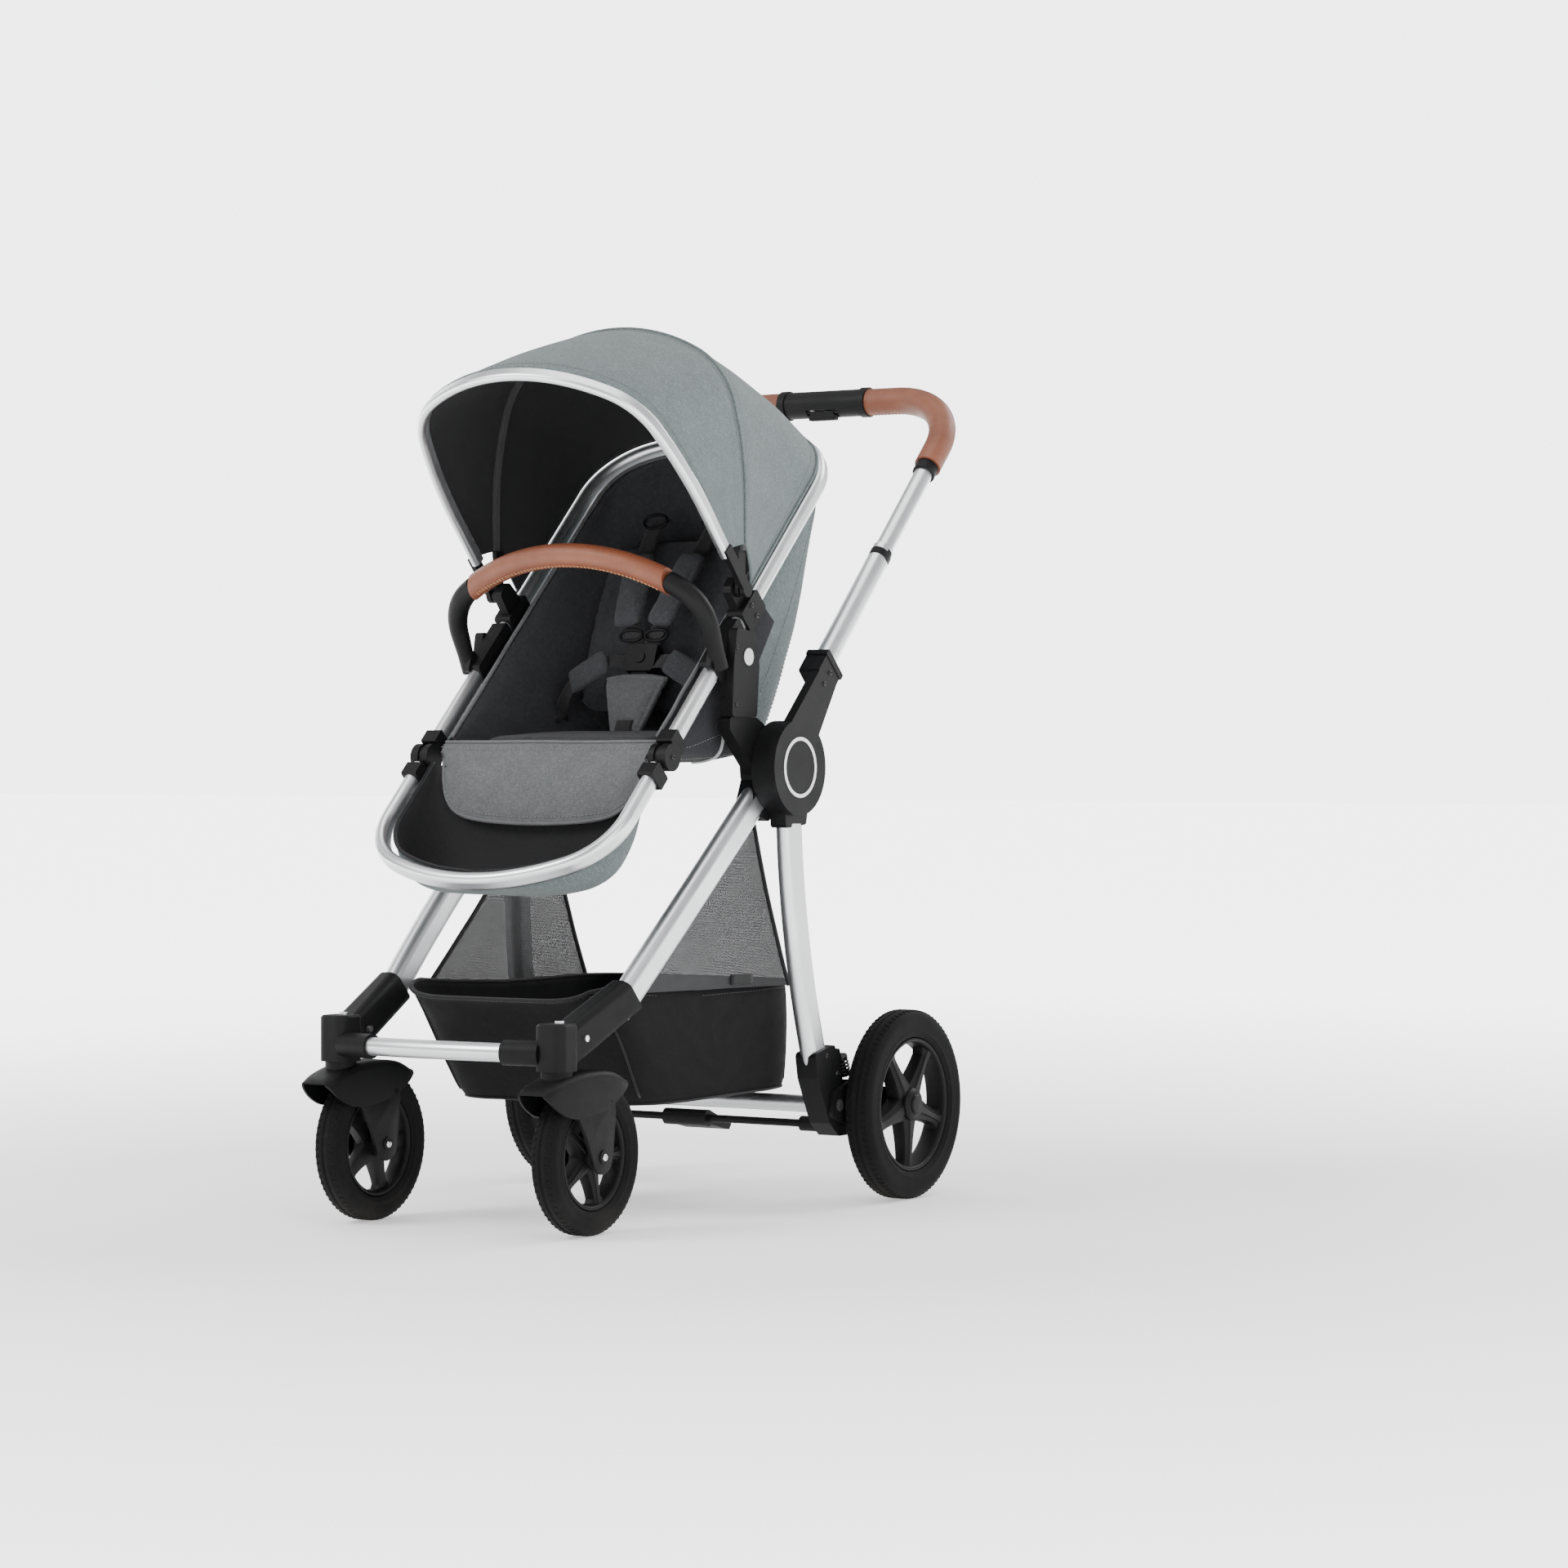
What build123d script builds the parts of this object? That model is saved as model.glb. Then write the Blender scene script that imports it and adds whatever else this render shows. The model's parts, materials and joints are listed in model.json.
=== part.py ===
from build123d import *
import math
import os

os.makedirs("parts", exist_ok=True)

# A folding baby stroller, in millimetres. +X is the left side as seen by the person pushing,
# -Y is the way the child faces and the way it rolls, and +Z is up from the floor.
# Side-view sizes are measured from the fold pivot, and setback then centres the whole on Y = 0.
setback = 5.94

# fold pivot
pivot_z = 570
disc_radius = 62
core_radius = 46
core_in = 177
core_out = 202.5
rear_layer_in = 203.2
rear_layer_out = 226.6
outer_in = 227.4
outer_out = 240
pin_radius = 8
pin_gap = 0.05

# front legs, wheel hubs and crossbar
front_leg_top = (190, 0, 556)
front_leg_mid = (190, -150, 431)
front_leg_low = (178, -322, 275)
front_leg_thick = 24
front_leg_deep = 42
hub_x = 165
swivel_y = -434
hub_low = 204.6
hub_high = 262
hub_wide = 42
hub_long = 44
crossbar_z = 226
crossbar_radius = 11.5
crossbar_end = 148
crossbar_bow = 14
sleeve_start = 101
stem_radius = 6

# casters
front_wheel_y = -373.5
front_wheel_radius = 97
front_wheel_wide = 36
front_rim_radius = 66
tyre_gap = 3
fork_wall = 6.5
front_axle_radius = 5

# rear legs, axle and suspension arms
rear_leg_top = (214.9, 12, 503)
rear_leg_mid = (221, 22, 345)
rear_leg_low = (229, 56, 180)
rear_leg_thick = 23
rear_leg_deep = 42
axle_y = 80
axle_z = 131
axle_tube_radius = 11
arm_pivot_radius = 8
rear_wheel_x = 273
rear_wheel_y = 205.5
rear_wheel_radius = 125
rear_wheel_wide = 40
rear_rim_radius = 88
rear_axle_radius = 6
spokes = 5
rod_y = 100
rod_z = 103
rod_radius = 5
rod_half = 226

# push handle
handle_angle = 45.3
handle_offset = 34.5
handle_half = 222
handle_tube_thick = 26
handle_tube_deep = 31
upper_tube_radius = 12.5
socket_start = 95
socket_in = 208.7
socket_end = 158
lower_tube_start = 140
clamp_start = 352
clamp_end = 378
upper_tube_low = 256
handle_travel = 90
grip_start = 538
bar_distance = 679.8
handle_corner = 106
grip_radius = 18.5
collar_radius = 21
centre_half = 64
centre_radius = 19
lever_pin = 1.6
lever_pin_off = 11.5

# seat
seat_angle = 44.5
knee_y = -231
knee_z = 583
seat_half = 183
hoop_thick = 17
hoop_deep = 25
knee_clear = 20
head_spring = 500
head_corner = (100, 69.5)
foot_spring = 108
foot_corner = (90, 65.1)
recline_y = -71
recline_z = 711
recline_pin = 7
post_top = 634
shell_half = 168
shell_wall = 6
foot_half = 160

# canopy
canopy_y = -66
canopy_z = 797
canopy_pin = 5
front_hoop_angle = 132
mid_hoop_angle = 90
front_start = 58
mid_start = 50
front_arch = ((600, 13), (95, 47))
front_spring = 125
front_arch_half = 195
mid_arch = ((450, 16), (110, 46))
mid_spring = 116
mid_arch_half = 194

# bumper bar
bumper_angle = 115
bumper_y = -118
bumper_z = 690
bumper_half = 196
bumper_radius = 15.5
bumper_arm_radius = 7.6

# harness buckle
strap_y = -50
strap_z = 598
strap_angle = 69
buckle_at = 122
buckle_wide = 48
buckle_long = 38
buckle_thick = 14
button_radius = 8
button_low = 1
button_travel = 2

# storage basket
basket_half = 158


def sides(shape):
    # the shape on the left side and its mirror image on the right
    return {"left": shape, "right": mirror(shape, about=Plane.YZ)}


def both(*shapes):
    # a group of separate solids: each shape on the left and its mirror image on the right
    return list(shapes) + [mirror(shape, about=Plane.YZ) for shape in shapes]


def save(node, shape):
    # a list is a group of separate solids in one file
    if isinstance(shape, list):
        placed = Compound(children=[Pos(0, setback, 0) * one for one in shape])
    else:
        placed = Pos(0, setback, 0) * shape
    export_step(placed, "parts/" + node + ".step")


def tilted(y, z, degrees):
    # a plane through (y, z) that holds the X axis; its second axis rises from +Y by the angle
    a = math.radians(degrees)
    return Plane(origin=(0, y, z), x_dir=(1, 0, 0), z_dir=(0, -math.sin(a), math.cos(a)))


def side_view(x):
    # a plane facing +X whose axes are Y and Z
    return Plane(origin=(x, 0, 0), x_dir=(0, 1, 0), z_dir=(1, 0, 0))


def plate(points, x_from, x_to, corner=0):
    # a side-view outline, pushed through from one X to another
    face = make_face(Polyline(*points, close=True))
    if corner:
        face = fillet(face.vertices(), corner)
    return extrude(side_view(x_from) * face, x_to - x_from)


def disc(y, z, radius, x_from, x_to):
    return extrude(side_view(x_from) * Pos(y, z) * Circle(radius), x_to - x_from)


def arch(half, start, spring, bends, flip=1):
    # a symmetric arch in its own plane: straight sides, then arcs that tighten and close at the crown
    runs = [[(half, flip * start), (half, flip * spring)]]
    x = half
    s = spring
    turned = 0
    for radius, turn in bends:
        cx = x - radius * math.cos(math.radians(turned))
        cs = s - radius * math.sin(math.radians(turned))
        angles = [math.radians(turned + turn * part) for part in (0, 0.5, 1)]
        runs.append([(cx + radius * math.cos(a), flip * (cs + radius * math.sin(a))) for a in angles])
        turned += turn
        x = cx + radius * math.cos(angles[-1])
        s = cs + radius * math.sin(angles[-1])
    crown = x / math.cos(math.radians(turned))
    top = s + crown * (1 - math.sin(math.radians(turned)))
    mirrored = [[(-px, ps) for px, ps in reversed(run)] for run in reversed(runs)]
    runs.append([(x, flip * s), (0, flip * top), (-x, flip * s)])
    edges = []
    for run in runs + mirrored:
        edges += (Line(*run) if len(run) == 2 else ThreePointArc(*run)).edges()
    return Wire(edges)


def closed(wire):
    # the flat face inside an arch whose two ends are joined by a straight edge
    return make_face(wire.edges() + Line(wire @ 1, wire @ 0).edges())


def tube(path, across, deep):
    # a flat-oval tube along a path; across is its size along X where it starts
    start = Plane(origin=path @ 0, x_dir=(1, 0, 0), z_dir=path % 0)
    flat = max(across, deep)
    turn = 90 if deep > across else 0
    return sweep(start * Rot(0, 0, turn) * SlotOverall(flat, min(across, deep)), path=path)


def round_tube(path, radius):
    start = Plane(origin=path @ 0, z_dir=path % 0)
    return sweep(start * Circle(radius), path=path)


def tyre(x, y, z, radius, rim, wide):
    # a crowned tread with rounded shoulders, turned about the axle
    half = wide / 2
    tread = radius - 5
    outline = Polyline(
        (rim, -half + 5),
        (rim + 8, -half),
        (tread - 4, -half),
        (tread + 1, -half + 5),
        (radius, -half * 0.35),
        (radius, half * 0.35),
        (tread + 1, half - 5),
        (tread - 4, half),
        (rim + 8, half),
        (rim, half - 5),
        close=True,
    )
    face = fillet(make_face(outline).vertices(), 2.5)
    ring = revolve(face, axis=Axis.Y, revolution_arc=360)
    return Pos(x, y, z) * Rot(0, 0, 90) * ring


def rim(x, y, z, radius, wide, hub_radius, hub_half, bore, spoke_wide):
    # a rim ring, five spokes and a hub with a running bore, built along X
    half = wide / 2
    ring = Cylinder(radius, wide - 10, rotation=(0, 90, 0)) - Cylinder(radius - 7, wide, rotation=(0, 90, 0))
    body = ring + Cylinder(hub_radius, 2 * hub_half, rotation=(0, 90, 0))
    for k in range(spokes):
        spoke = Pos(0, 0, (radius - 3) / 2) * Box(wide * 0.45, spoke_wide, radius - 5)
        body += Rot(k * 360 / spokes, 0, 0) * spoke
    body -= Cylinder(bore, 4 * half, rotation=(0, 90, 0))
    return Pos(x, y, z) * body


# ---- front frame ----
def front_leg():
    path = ThreePointArc(front_leg_top, front_leg_mid, front_leg_low)
    pin = disc(0, pivot_z, pin_radius, core_in - 1, core_out + 1)
    return tube(path, front_leg_thick, front_leg_deep) - pin


def pivot_core():
    # the fixed hub of the fold pivot, and the upright that carries the seat
    hub = disc(0, pivot_z, core_radius, core_in, core_out)
    upright = plate([(26, 600), (-46, post_top), (-108, post_top), (-108, 618), (-40, 556)], 184, core_out, 5)
    socket = plate([(-30, 585), (-60, 515), (-16, 500), (20, 540)], core_in, core_out, 6)
    pin = disc(0, pivot_z, pin_radius, core_in - 1, core_out + 1)
    return hub + upright + socket - front_leg() - pin


def front_hub():
    # upright swivel housing, the shoulder that takes the leg, and the crossbar's sleeve
    post = Pos(hub_x, swivel_y, hub_low) * extrude(RectangleRounded(hub_wide, hub_long, 13),
            hub_high - hub_low)
    post = chamfer(post.faces().sort_by(Axis.Z)[-1].edges(), 2.5)
    leg_way = Vector(front_leg_mid) - Vector(front_leg_low)
    mouth = Plane(origin=(179, -306, 291), x_dir=(1, 0, 0), z_dir=leg_way)
    foot = Plane(origin=(hub_x, swivel_y + 10, 232), x_dir=(1, 0, 0), z_dir=(0, 1, 0.25))
    shoulder = loft([foot * RectangleRounded(34, 50, 9), mouth * RectangleRounded(32, 51, 12)])
    sleeve_path = ThreePointArc((sleeve_start, crossbar_y(sleeve_start), crossbar_z),
                                (125, crossbar_y(125), crossbar_z),
                                (crossbar_end + 2, crossbar_y(crossbar_end + 2), crossbar_z))
    sleeve = round_tube(sleeve_path, crossbar_radius + 4)
    bore = Pos(hub_x, swivel_y, hub_low + 20) * Cylinder(stem_radius + pin_gap, 40.2)
    body = post + shoulder + sleeve - front_leg() - crossbar() - bore
    for rivet in hub_rivets():
        body -= rivet
    return body


def crossbar_y(x):
    # the crossbar bows forward a little between the hubs
    return swivel_y - 12 - crossbar_bow * (1 - (x / crossbar_end) ** 2)


def crossbar():
    path = ThreePointArc((-crossbar_end, crossbar_y(crossbar_end), crossbar_z),
                         (0, crossbar_y(0), crossbar_z),
                         (crossbar_end, crossbar_y(crossbar_end), crossbar_z))
    return round_tube(path, crossbar_radius)


def hub_rivets():
    top = Pos(hub_x, swivel_y + 6, hub_high + 1.5) * Cylinder(6, 3)
    side = disc(swivel_y + 34, 243, 4, hub_x + 17, hub_x + 21.5)
    lower = disc(swivel_y + 34, 243, 4, hub_x - 21.5, hub_x - 17)
    return [top, side, lower]


# ---- rear frame ----
def rear_leg():
    return tube(ThreePointArc(rear_leg_top, rear_leg_mid, rear_leg_low), rear_leg_thick, rear_leg_deep)


def rear_joint():
    # the turning layer of the fold pivot, with the lip that takes the rear leg
    hub = disc(0, pivot_z, disc_radius - 2, rear_layer_in, rear_layer_out)
    lip = plate([(-18, 545), (-13, 492), (36, 496), (46, 545)], rear_layer_in, rear_layer_out, 5)
    bore = disc(0, pivot_z, pin_radius + pin_gap, rear_layer_in - 1, rear_layer_out + 1)
    return hub + lip - rear_leg() - bore


def rear_bracket():
    # closes the leg's foot and holds the axle tube and the suspension arm
    body = plate([(30, 200), (78, 210), (104, 150), (116, 112), (112, 90), (88, 90), (66, 108), (36, 168)],
                 213, 244, 6)
    stop = plate([(70, 196), (96, 204), (104, 186), (88, 176)], 222, 240, 2)
    axle = disc(axle_y, axle_z, axle_tube_radius, 200, 224)
    pin = disc(axle_y, axle_z, arm_pivot_radius, 224, 246)
    rod = disc(rod_y, rod_z, rod_radius + pin_gap, 212, rod_half + 1)
    return body + stop - rear_leg() - axle - pin - rod


def rear_axle():
    tube_part = disc(axle_y, axle_z, axle_tube_radius, -224, 224)
    return tube_part + disc(axle_y, axle_z, arm_pivot_radius, -251, 251)


def rear_arm():
    # trailing suspension arm from the axle tube to the wheel, with the wheel's stub axle
    arm = plate([(60, 117), (100, 104), (214, 107), (226, 125), (216, 145), (104, 160), (66, 148)],
            244.6, 250.8, 8)
    stub = disc(rear_wheel_y, rear_wheel_radius, rear_axle_radius, 250, 292)
    seat_pad = plate([(112, 150), (140, 150), (140, 160), (112, 162)], 226, 250.8, 2)
    bore = disc(axle_y, axle_z, arm_pivot_radius + pin_gap, 240, 252)
    return arm + stub + seat_pad - bore


def spring_stack():
    # the short spring between the bracket's ear and the arm's pad
    axis = Plane(origin=(234, 108, 192), x_dir=(1, 0, 0), z_dir=(0, 0.42, -0.9))
    rings = axis * Cylinder(6, 24, align=(Align.CENTER, Align.CENTER, Align.MIN))
    for k in range(4):
        rings += axis * Pos(0, 0, 3 + k * 6) * Cylinder(9, 3)
    return rings


def brake_pedal():
    # a rod that turns in the brackets, a foot pedal in its middle and a crank at each end
    rod = disc(rod_y, rod_z, rod_radius, -rod_half, rod_half)
    clip = disc(rod_y, rod_z, 11, -34, 34)
    tread = plate([(96, 96), (150, 84), (156, 92), (106, 112)], -34, 34, 2)
    end = disc(rod_y, rod_z, 10, 180, 206)
    crank = plate([(96, 98), (128, 94), (130, 104), (104, 112)], 186, 206, 2)
    crank += end
    return rod + clip + tread + crank + mirror(crank, about=Plane.YZ)


# ---- push handle ----
def along_handle(distance, up=0):
    # a point in side view on the handle tube's line, measured from beside the fold pivot
    a = math.radians(handle_angle)
    foot_y = -handle_offset * math.sin(a)
    foot_z = pivot_z + handle_offset * math.cos(a)
    y = foot_y + distance * math.cos(a) - up * math.sin(a)
    z = foot_z + distance * math.sin(a) + up * math.cos(a)
    return (y, z)


def handle_disc():
    # outer layer of the fold pivot: a cap, a flat arm, and the socket that grips the tube
    cap = disc(0, pivot_z, disc_radius, outer_in, outer_out)
    arm = plate([along_handle(-20, 22), along_handle(150, 20), along_handle(150, -20), along_handle(30, -44)],
                outer_in, outer_out, 8)
    socket = plate([along_handle(socket_start + 26, 22), along_handle(socket_end, 22),
                    along_handle(socket_end, -22), along_handle(socket_start + 26, -22)],
                            socket_in, outer_out, 3)
    lip = plate([along_handle(socket_end - 9, 24.5), along_handle(socket_end, 24.5),
                 along_handle(socket_end, -24.5), along_handle(socket_end - 9, -24.5)], socket_in,
                         outer_out + 1, 2)
    bore = disc(0, pivot_z, pin_radius + pin_gap, outer_in - 1, outer_out - 5)
    recess = disc(0, pivot_z, 39, outer_out - 2, outer_out + 1) - disc(0, pivot_z, 34.5,
            outer_out - 3, outer_out + 2)
    return cap + arm + socket + lip - bore - recess - handle_tube()


def disc_ring():
    return disc(0, pivot_z, 39, outer_out - 2, outer_out + 0.6) - disc(0, pivot_z, 34.5,
            outer_out - 3, outer_out + 2)


def handle_tube():
    start = (handle_half, *along_handle(lower_tube_start))
    end = (handle_half, *along_handle(clamp_end - 6))
    solid = tube(Line(start, end), handle_tube_thick, handle_tube_deep)
    inner_start = (handle_half, *along_handle(upper_tube_low - handle_travel - 6))
    inner_end = (handle_half, *along_handle(clamp_end))
    return solid - round_tube(Line(inner_start, inner_end), upper_tube_radius + pin_gap)


def handle_clamp():
    start = (handle_half, *along_handle(clamp_start))
    end = (handle_half, *along_handle(clamp_end))
    body = tube(Line(start, end), handle_tube_thick + 1.6, handle_tube_deep + 5)
    bore = round_tube(Line(start, end), upper_tube_radius + pin_gap)
    return body - bore - handle_tube()


def handle_plane():
    y, z = along_handle(0)
    return tilted(y, z, handle_angle)


def handle_path(start):
    # up the left side, round the corner and along half of the bar
    corner = bar_distance - handle_corner
    middle = handle_corner * math.sqrt(0.5)
    return Wire([
        Line((handle_half, start), (handle_half, corner)),
        ThreePointArc((handle_half, corner),
                      (handle_half - handle_corner + middle, corner + middle),
                      (handle_half - handle_corner, bar_distance)),
        Line((handle_half - handle_corner, bar_distance), (0, bar_distance)),
    ])


def handle_bar():
    half = round_tube(handle_plane() * handle_path(upper_tube_low), upper_tube_radius)
    return half + mirror(half, about=Plane.YZ)


def handle_grip():
    path = handle_plane() * handle_path(grip_start)
    sleeve = round_tube(path, grip_radius)
    middle = Box(2 * (centre_half + 7), 400, 400, rotation=(handle_angle, 0, 0))
    bar_y, bar_z = along_handle(bar_distance)
    return sleeve - Pos(0, bar_y, bar_z) * middle - handle_bar()


def grip_collars():
    # a ring where each grip starts on the tube, and one where it meets the middle piece
    start = (handle_half, *along_handle(grip_start - 16))
    end = (handle_half, *along_handle(grip_start - 0.2))
    low = round_tube(Line(start, end), 15.6)
    bar_y, bar_z = along_handle(bar_distance)
    inner = disc(bar_y, bar_z, collar_radius, centre_half - 4, centre_half + 6.8)
    bar = handle_bar()
    return both(low - bar, inner - bar)


def handle_centre():
    # middle housing with a slot underneath for the fold lever
    bar_y, bar_z = along_handle(bar_distance)
    body = disc(bar_y, bar_z, centre_radius, -centre_half + 4.2, centre_half - 4.2)
    slot = Pos(0, bar_y - 8, bar_z - 13) * Box(50, 18, 18)
    holes = disc(bar_y - lever_pin_off, bar_z - lever_pin_off, lever_pin + pin_gap, -28, 28)
    return body - handle_bar() - slot - holes


def fold_lever():
    # a finger lever in the slot under the middle of the bar
    bar_y, bar_z = along_handle(bar_distance)
    pad = fillet((Pos(0, bar_y - 8, bar_z - 19) * Box(44, 12, 9)).edges(), 2.5)
    web = Pos(0, bar_y - lever_pin_off, bar_z - lever_pin_off - 2) * Box(38, 4, 6)
    pin = disc(bar_y - lever_pin_off, bar_z - lever_pin_off, lever_pin, -27, 27)
    return pad + web + pin


# ---- casters and wheels ----
def front_fork():
    # mudguard cap, two arms and the swivel stem, cut clear of the tyre
    wheel_z = front_wheel_radius
    cap = [(-488, 186), (-452, 196), (-400, 203), (-345, 200), (-313, 190), (-318, 178), (-346, 158),
           (-430, 146), (-462, 152), (-482, 172)]
    arms = [(-418, 165), (-344, 165), (-356, 92), (-368, 80), (-380, 80), (-392, 92)]
    half = front_wheel_wide / 2 + tyre_gap + fork_wall
    body = plate(cap, hub_x - half, hub_x + half, 4) + plate(arms, hub_x - half + 1, hub_x + half - 1, 5)
    seat = Pos(hub_x, swivel_y, hub_low - 7.2) * Cylinder(20, 13)
    inner = half - fork_wall
    body += seat
    body -= disc(front_wheel_y, wheel_z, front_wheel_radius + tyre_gap, hub_x - inner, hub_x + inner)
    body += Pos(hub_x, swivel_y, hub_low + 15) * Cylinder(stem_radius, 40)
    axle = disc(front_wheel_y, wheel_z, front_axle_radius, hub_x - half, hub_x + half)
    heads = disc(front_wheel_y, wheel_z, 8, hub_x - half - 2, hub_x - half + 2)
    heads += disc(front_wheel_y, wheel_z, 8, hub_x + half - 2, hub_x + half + 2)
    return body + axle + heads


def front_tyre():
    return tyre(hub_x, front_wheel_y, front_wheel_radius, front_wheel_radius, front_rim_radius,
            front_wheel_wide)


def front_rim():
    return rim(hub_x, front_wheel_y, front_wheel_radius, front_rim_radius - 0.1, front_wheel_wide, 16,
               front_wheel_wide / 2 + 2, front_axle_radius + pin_gap, 16)


def rear_tyre():
    return tyre(rear_wheel_x, rear_wheel_y, rear_wheel_radius, rear_wheel_radius, rear_rim_radius,
            rear_wheel_wide)


def rear_rim():
    wheel = rim(rear_wheel_x, rear_wheel_y, rear_wheel_radius, rear_rim_radius - 0.1, rear_wheel_wide, 22,
                rear_wheel_wide / 2, rear_axle_radius + pin_gap, 22)
    cap = disc(rear_wheel_y, rear_wheel_radius, 14, rear_wheel_x + 20, rear_wheel_x + 22.5)
    return wheel + cap


# ---- seat ----
def seat_plane():
    return tilted(knee_y, knee_z, seat_angle)


def along_seat(s, below=0):
    # a point in side view, s along the seat tube from the knee and some way below it
    a = math.radians(seat_angle)
    return (knee_y + s * math.cos(a) + below * math.sin(a), knee_z + s * math.sin(a) - below * math.cos(a))


def seat_hoop():
    return tube(seat_plane() * arch(seat_half, knee_clear, head_spring, (head_corner,)),
            hoop_thick, hoop_deep)


def foot_hoop():
    return tube(seat_plane() * arch(seat_half, knee_clear, foot_spring, (foot_corner,), -1),
            hoop_thick, hoop_deep)


def seat_knee():
    # the footrest's hinge housing, fixed to the end of the seat tube
    inner = disc(knee_y, knee_z, 17.5, seat_half - 11.5, seat_half - 3.2)
    outer = disc(knee_y, knee_z, 17.5, seat_half + 3.2, seat_half + 14.5)
    sleeve = plate([along_seat(15.6, -15), along_seat(36, -15), along_seat(36, 15), along_seat(15.6, 15)],
                   seat_half - 11.5, seat_half + 11.5, 2)
    return inner + outer + sleeve - seat_hoop()


def foot_knee():
    # the tongue that turns inside the hinge housing
    tongue = disc(knee_y, knee_z, 15, seat_half - 2.9, seat_half + 2.9)
    bar = plate([along_seat(-36, -9), along_seat(-36, 9), along_seat(0, 9), along_seat(0, -9)],
                seat_half - 2.9, seat_half + 2.9)
    sleeve = plate([along_seat(-44, -15), along_seat(-44, 15), along_seat(-22, 15), along_seat(-22, -15)],
                   seat_half - 11.5, seat_half + 11.5, 3)
    return tongue + bar + sleeve - foot_hoop()


def seat_adaptor():
    # the block on the frame's upright that the seat's hub turns in, with a well for its button
    block = plate([(-108, 634.2), (-50, 634.2), (-44, 700), (-50, 742), (-96, 748), (-104, 700)],
            193.4, 206, 6)
    foot = plate([(-108, 634.2), (-50, 634.2), (-50, 660), (-106, 660)], 186, 204, 3)
    bore = disc(recline_y, recline_z, recline_pin + pin_gap, 185, 200)
    well = disc(recline_y, recline_z, 11.3, 200.6, 207)
    return block + foot - bore - well


def seat_button():
    return disc(recline_y, recline_z, 11, 204, 207.5)


def recline_hub():
    # the fitting on the seat tube: the reclining pin and the socket that holds the bumper bar
    clamp = plate([along_seat(150, -17), along_seat(150, 17), along_seat(238, 17), along_seat(238, -17)],
                  seat_half - 11, seat_half + 10, 5)
    hub = disc(recline_y, recline_z, 26, seat_half - 9, seat_half + 10)
    pin = disc(recline_y, recline_z, recline_pin, seat_half + 9, 198.8)
    socket = round_tube(bumper_line(6, 34), bumper_arm_radius + 2.9)
    way = round_tube(bumper_line(17, 40), bumper_arm_radius + 0.4)
    web = plate([(-140, 696), (-118, 690), (-100, 704), (-130, 724)], seat_half + 2, seat_half + 10, 3)
    return clamp + hub + pin + socket + web - way - seat_hoop()


def bumper_line(start, end):
    frame = tilted(bumper_y, bumper_z, bumper_angle)
    return frame * Line((bumper_half, start), (bumper_half, end))


def canopy_clamp():
    # collar on the seat tube with the boss and pin that the canopy hoops turn on
    collar = plate([along_seat(243, 17), along_seat(243, -17), along_seat(292, -17), along_seat(292, 17)],
                   seat_half - 12.5, seat_half + 12.5, 5)
    boss = plate([along_seat(250, -10), along_seat(286, -10), along_seat(281, -50), along_seat(255, -50)],
                 174, 186.5, 8)
    pin = disc(canopy_y, canopy_z, canopy_pin, 180, 203)
    return collar + boss + pin - seat_hoop()


def seat_outline(inset):
    # side-view outline of the fabric bucket below the seat tube
    return [along_seat(36, 6 + inset), (-212, 594 + inset), (-200, 577 + inset), (-58, 576 + inset),
            (28 - inset, 598 + inset * 0.6), (52 - inset, 652), (88 - inset, 742), (124 - inset, 838),
            (134 - inset, 886), along_seat(584, 20 - inset), along_seat(584, -4 - inset * 4),
            along_seat(36, -4 - inset * 4)]


def seat_shell():
    outer = plate(seat_outline(0), -shell_half, shell_half)
    inner = plate(seat_outline(shell_wall), -shell_half + shell_wall, shell_half - shell_wall)
    a = math.radians(seat_angle)
    cut = Plane(origin=(0, *along_seat(0)), x_dir=(1, 0, 0), z_dir=(0, -math.sin(a), math.cos(a)))
    above = cut * Pos(0, 300, 50.5) * Box(500, 900, 100)
    outline = closed(arch(seat_half - 13, -60, head_spring, (head_corner,)))
    room = extrude(cut * outline, 200, both=True)
    return (outer - inner - above) & room


def seat_pad():
    # the cushion on the backrest and the sitting board, inside the bucket
    lift = shell_wall + 1
    thick = 18
    half = shell_half - shell_wall - 4
    back = [(28 - lift, 604), (52 - lift, 652), (88 - lift, 742), (122 - lift, 834), (128 - lift, 880),
            (128 - lift - thick, 886), (122 - lift - thick, 846), (88 - lift - thick, 756),
            (52 - lift - thick, 666), (22 - lift - thick, 618), (-200, 577 + lift + thick),
            (-200, 577 + lift), (-58, 576 + lift)]
    return plate(back, -half, half)


def lap_plane():
    # the plane of the crotch strap, which leans back from the sitting board
    return tilted(strap_y, strap_z, strap_angle)


def buckle():
    # the buckle on its strap, with a well for the release button
    shell = fillet(Box(buckle_wide, buckle_long, buckle_thick).edges().filter_by(Axis.Z), 6)
    shell = Pos(0, buckle_at, 0) * shell
    strap = Pos(0, buckle_at / 2, 0) * Box(24, buckle_at, 4)
    well = Pos(0, buckle_at, button_low - button_travel - 0.5) * Cylinder(
        button_radius + 0.3, 20, align=(Align.CENTER, Align.CENTER, Align.MIN))
    return lap_plane() * (shell + strap - well)


def buckle_button():
    button = Cylinder(button_radius, 8, align=(Align.CENTER, Align.CENTER, Align.MIN))
    return lap_plane() * Pos(0, buckle_at, button_low) * button


# ---- footrest ----
def foot_outline(inset):
    return [along_seat(-6, 8 + inset), along_seat(-62, 56 - inset), along_seat(-112, 84 - inset),
            along_seat(-160, 84 - inset), along_seat(-196, 44 - inset), along_seat(-206 + inset, 8),
            along_seat(-206 + inset, -8 - 3 * inset), along_seat(-6, -8 - 3 * inset)]


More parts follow.
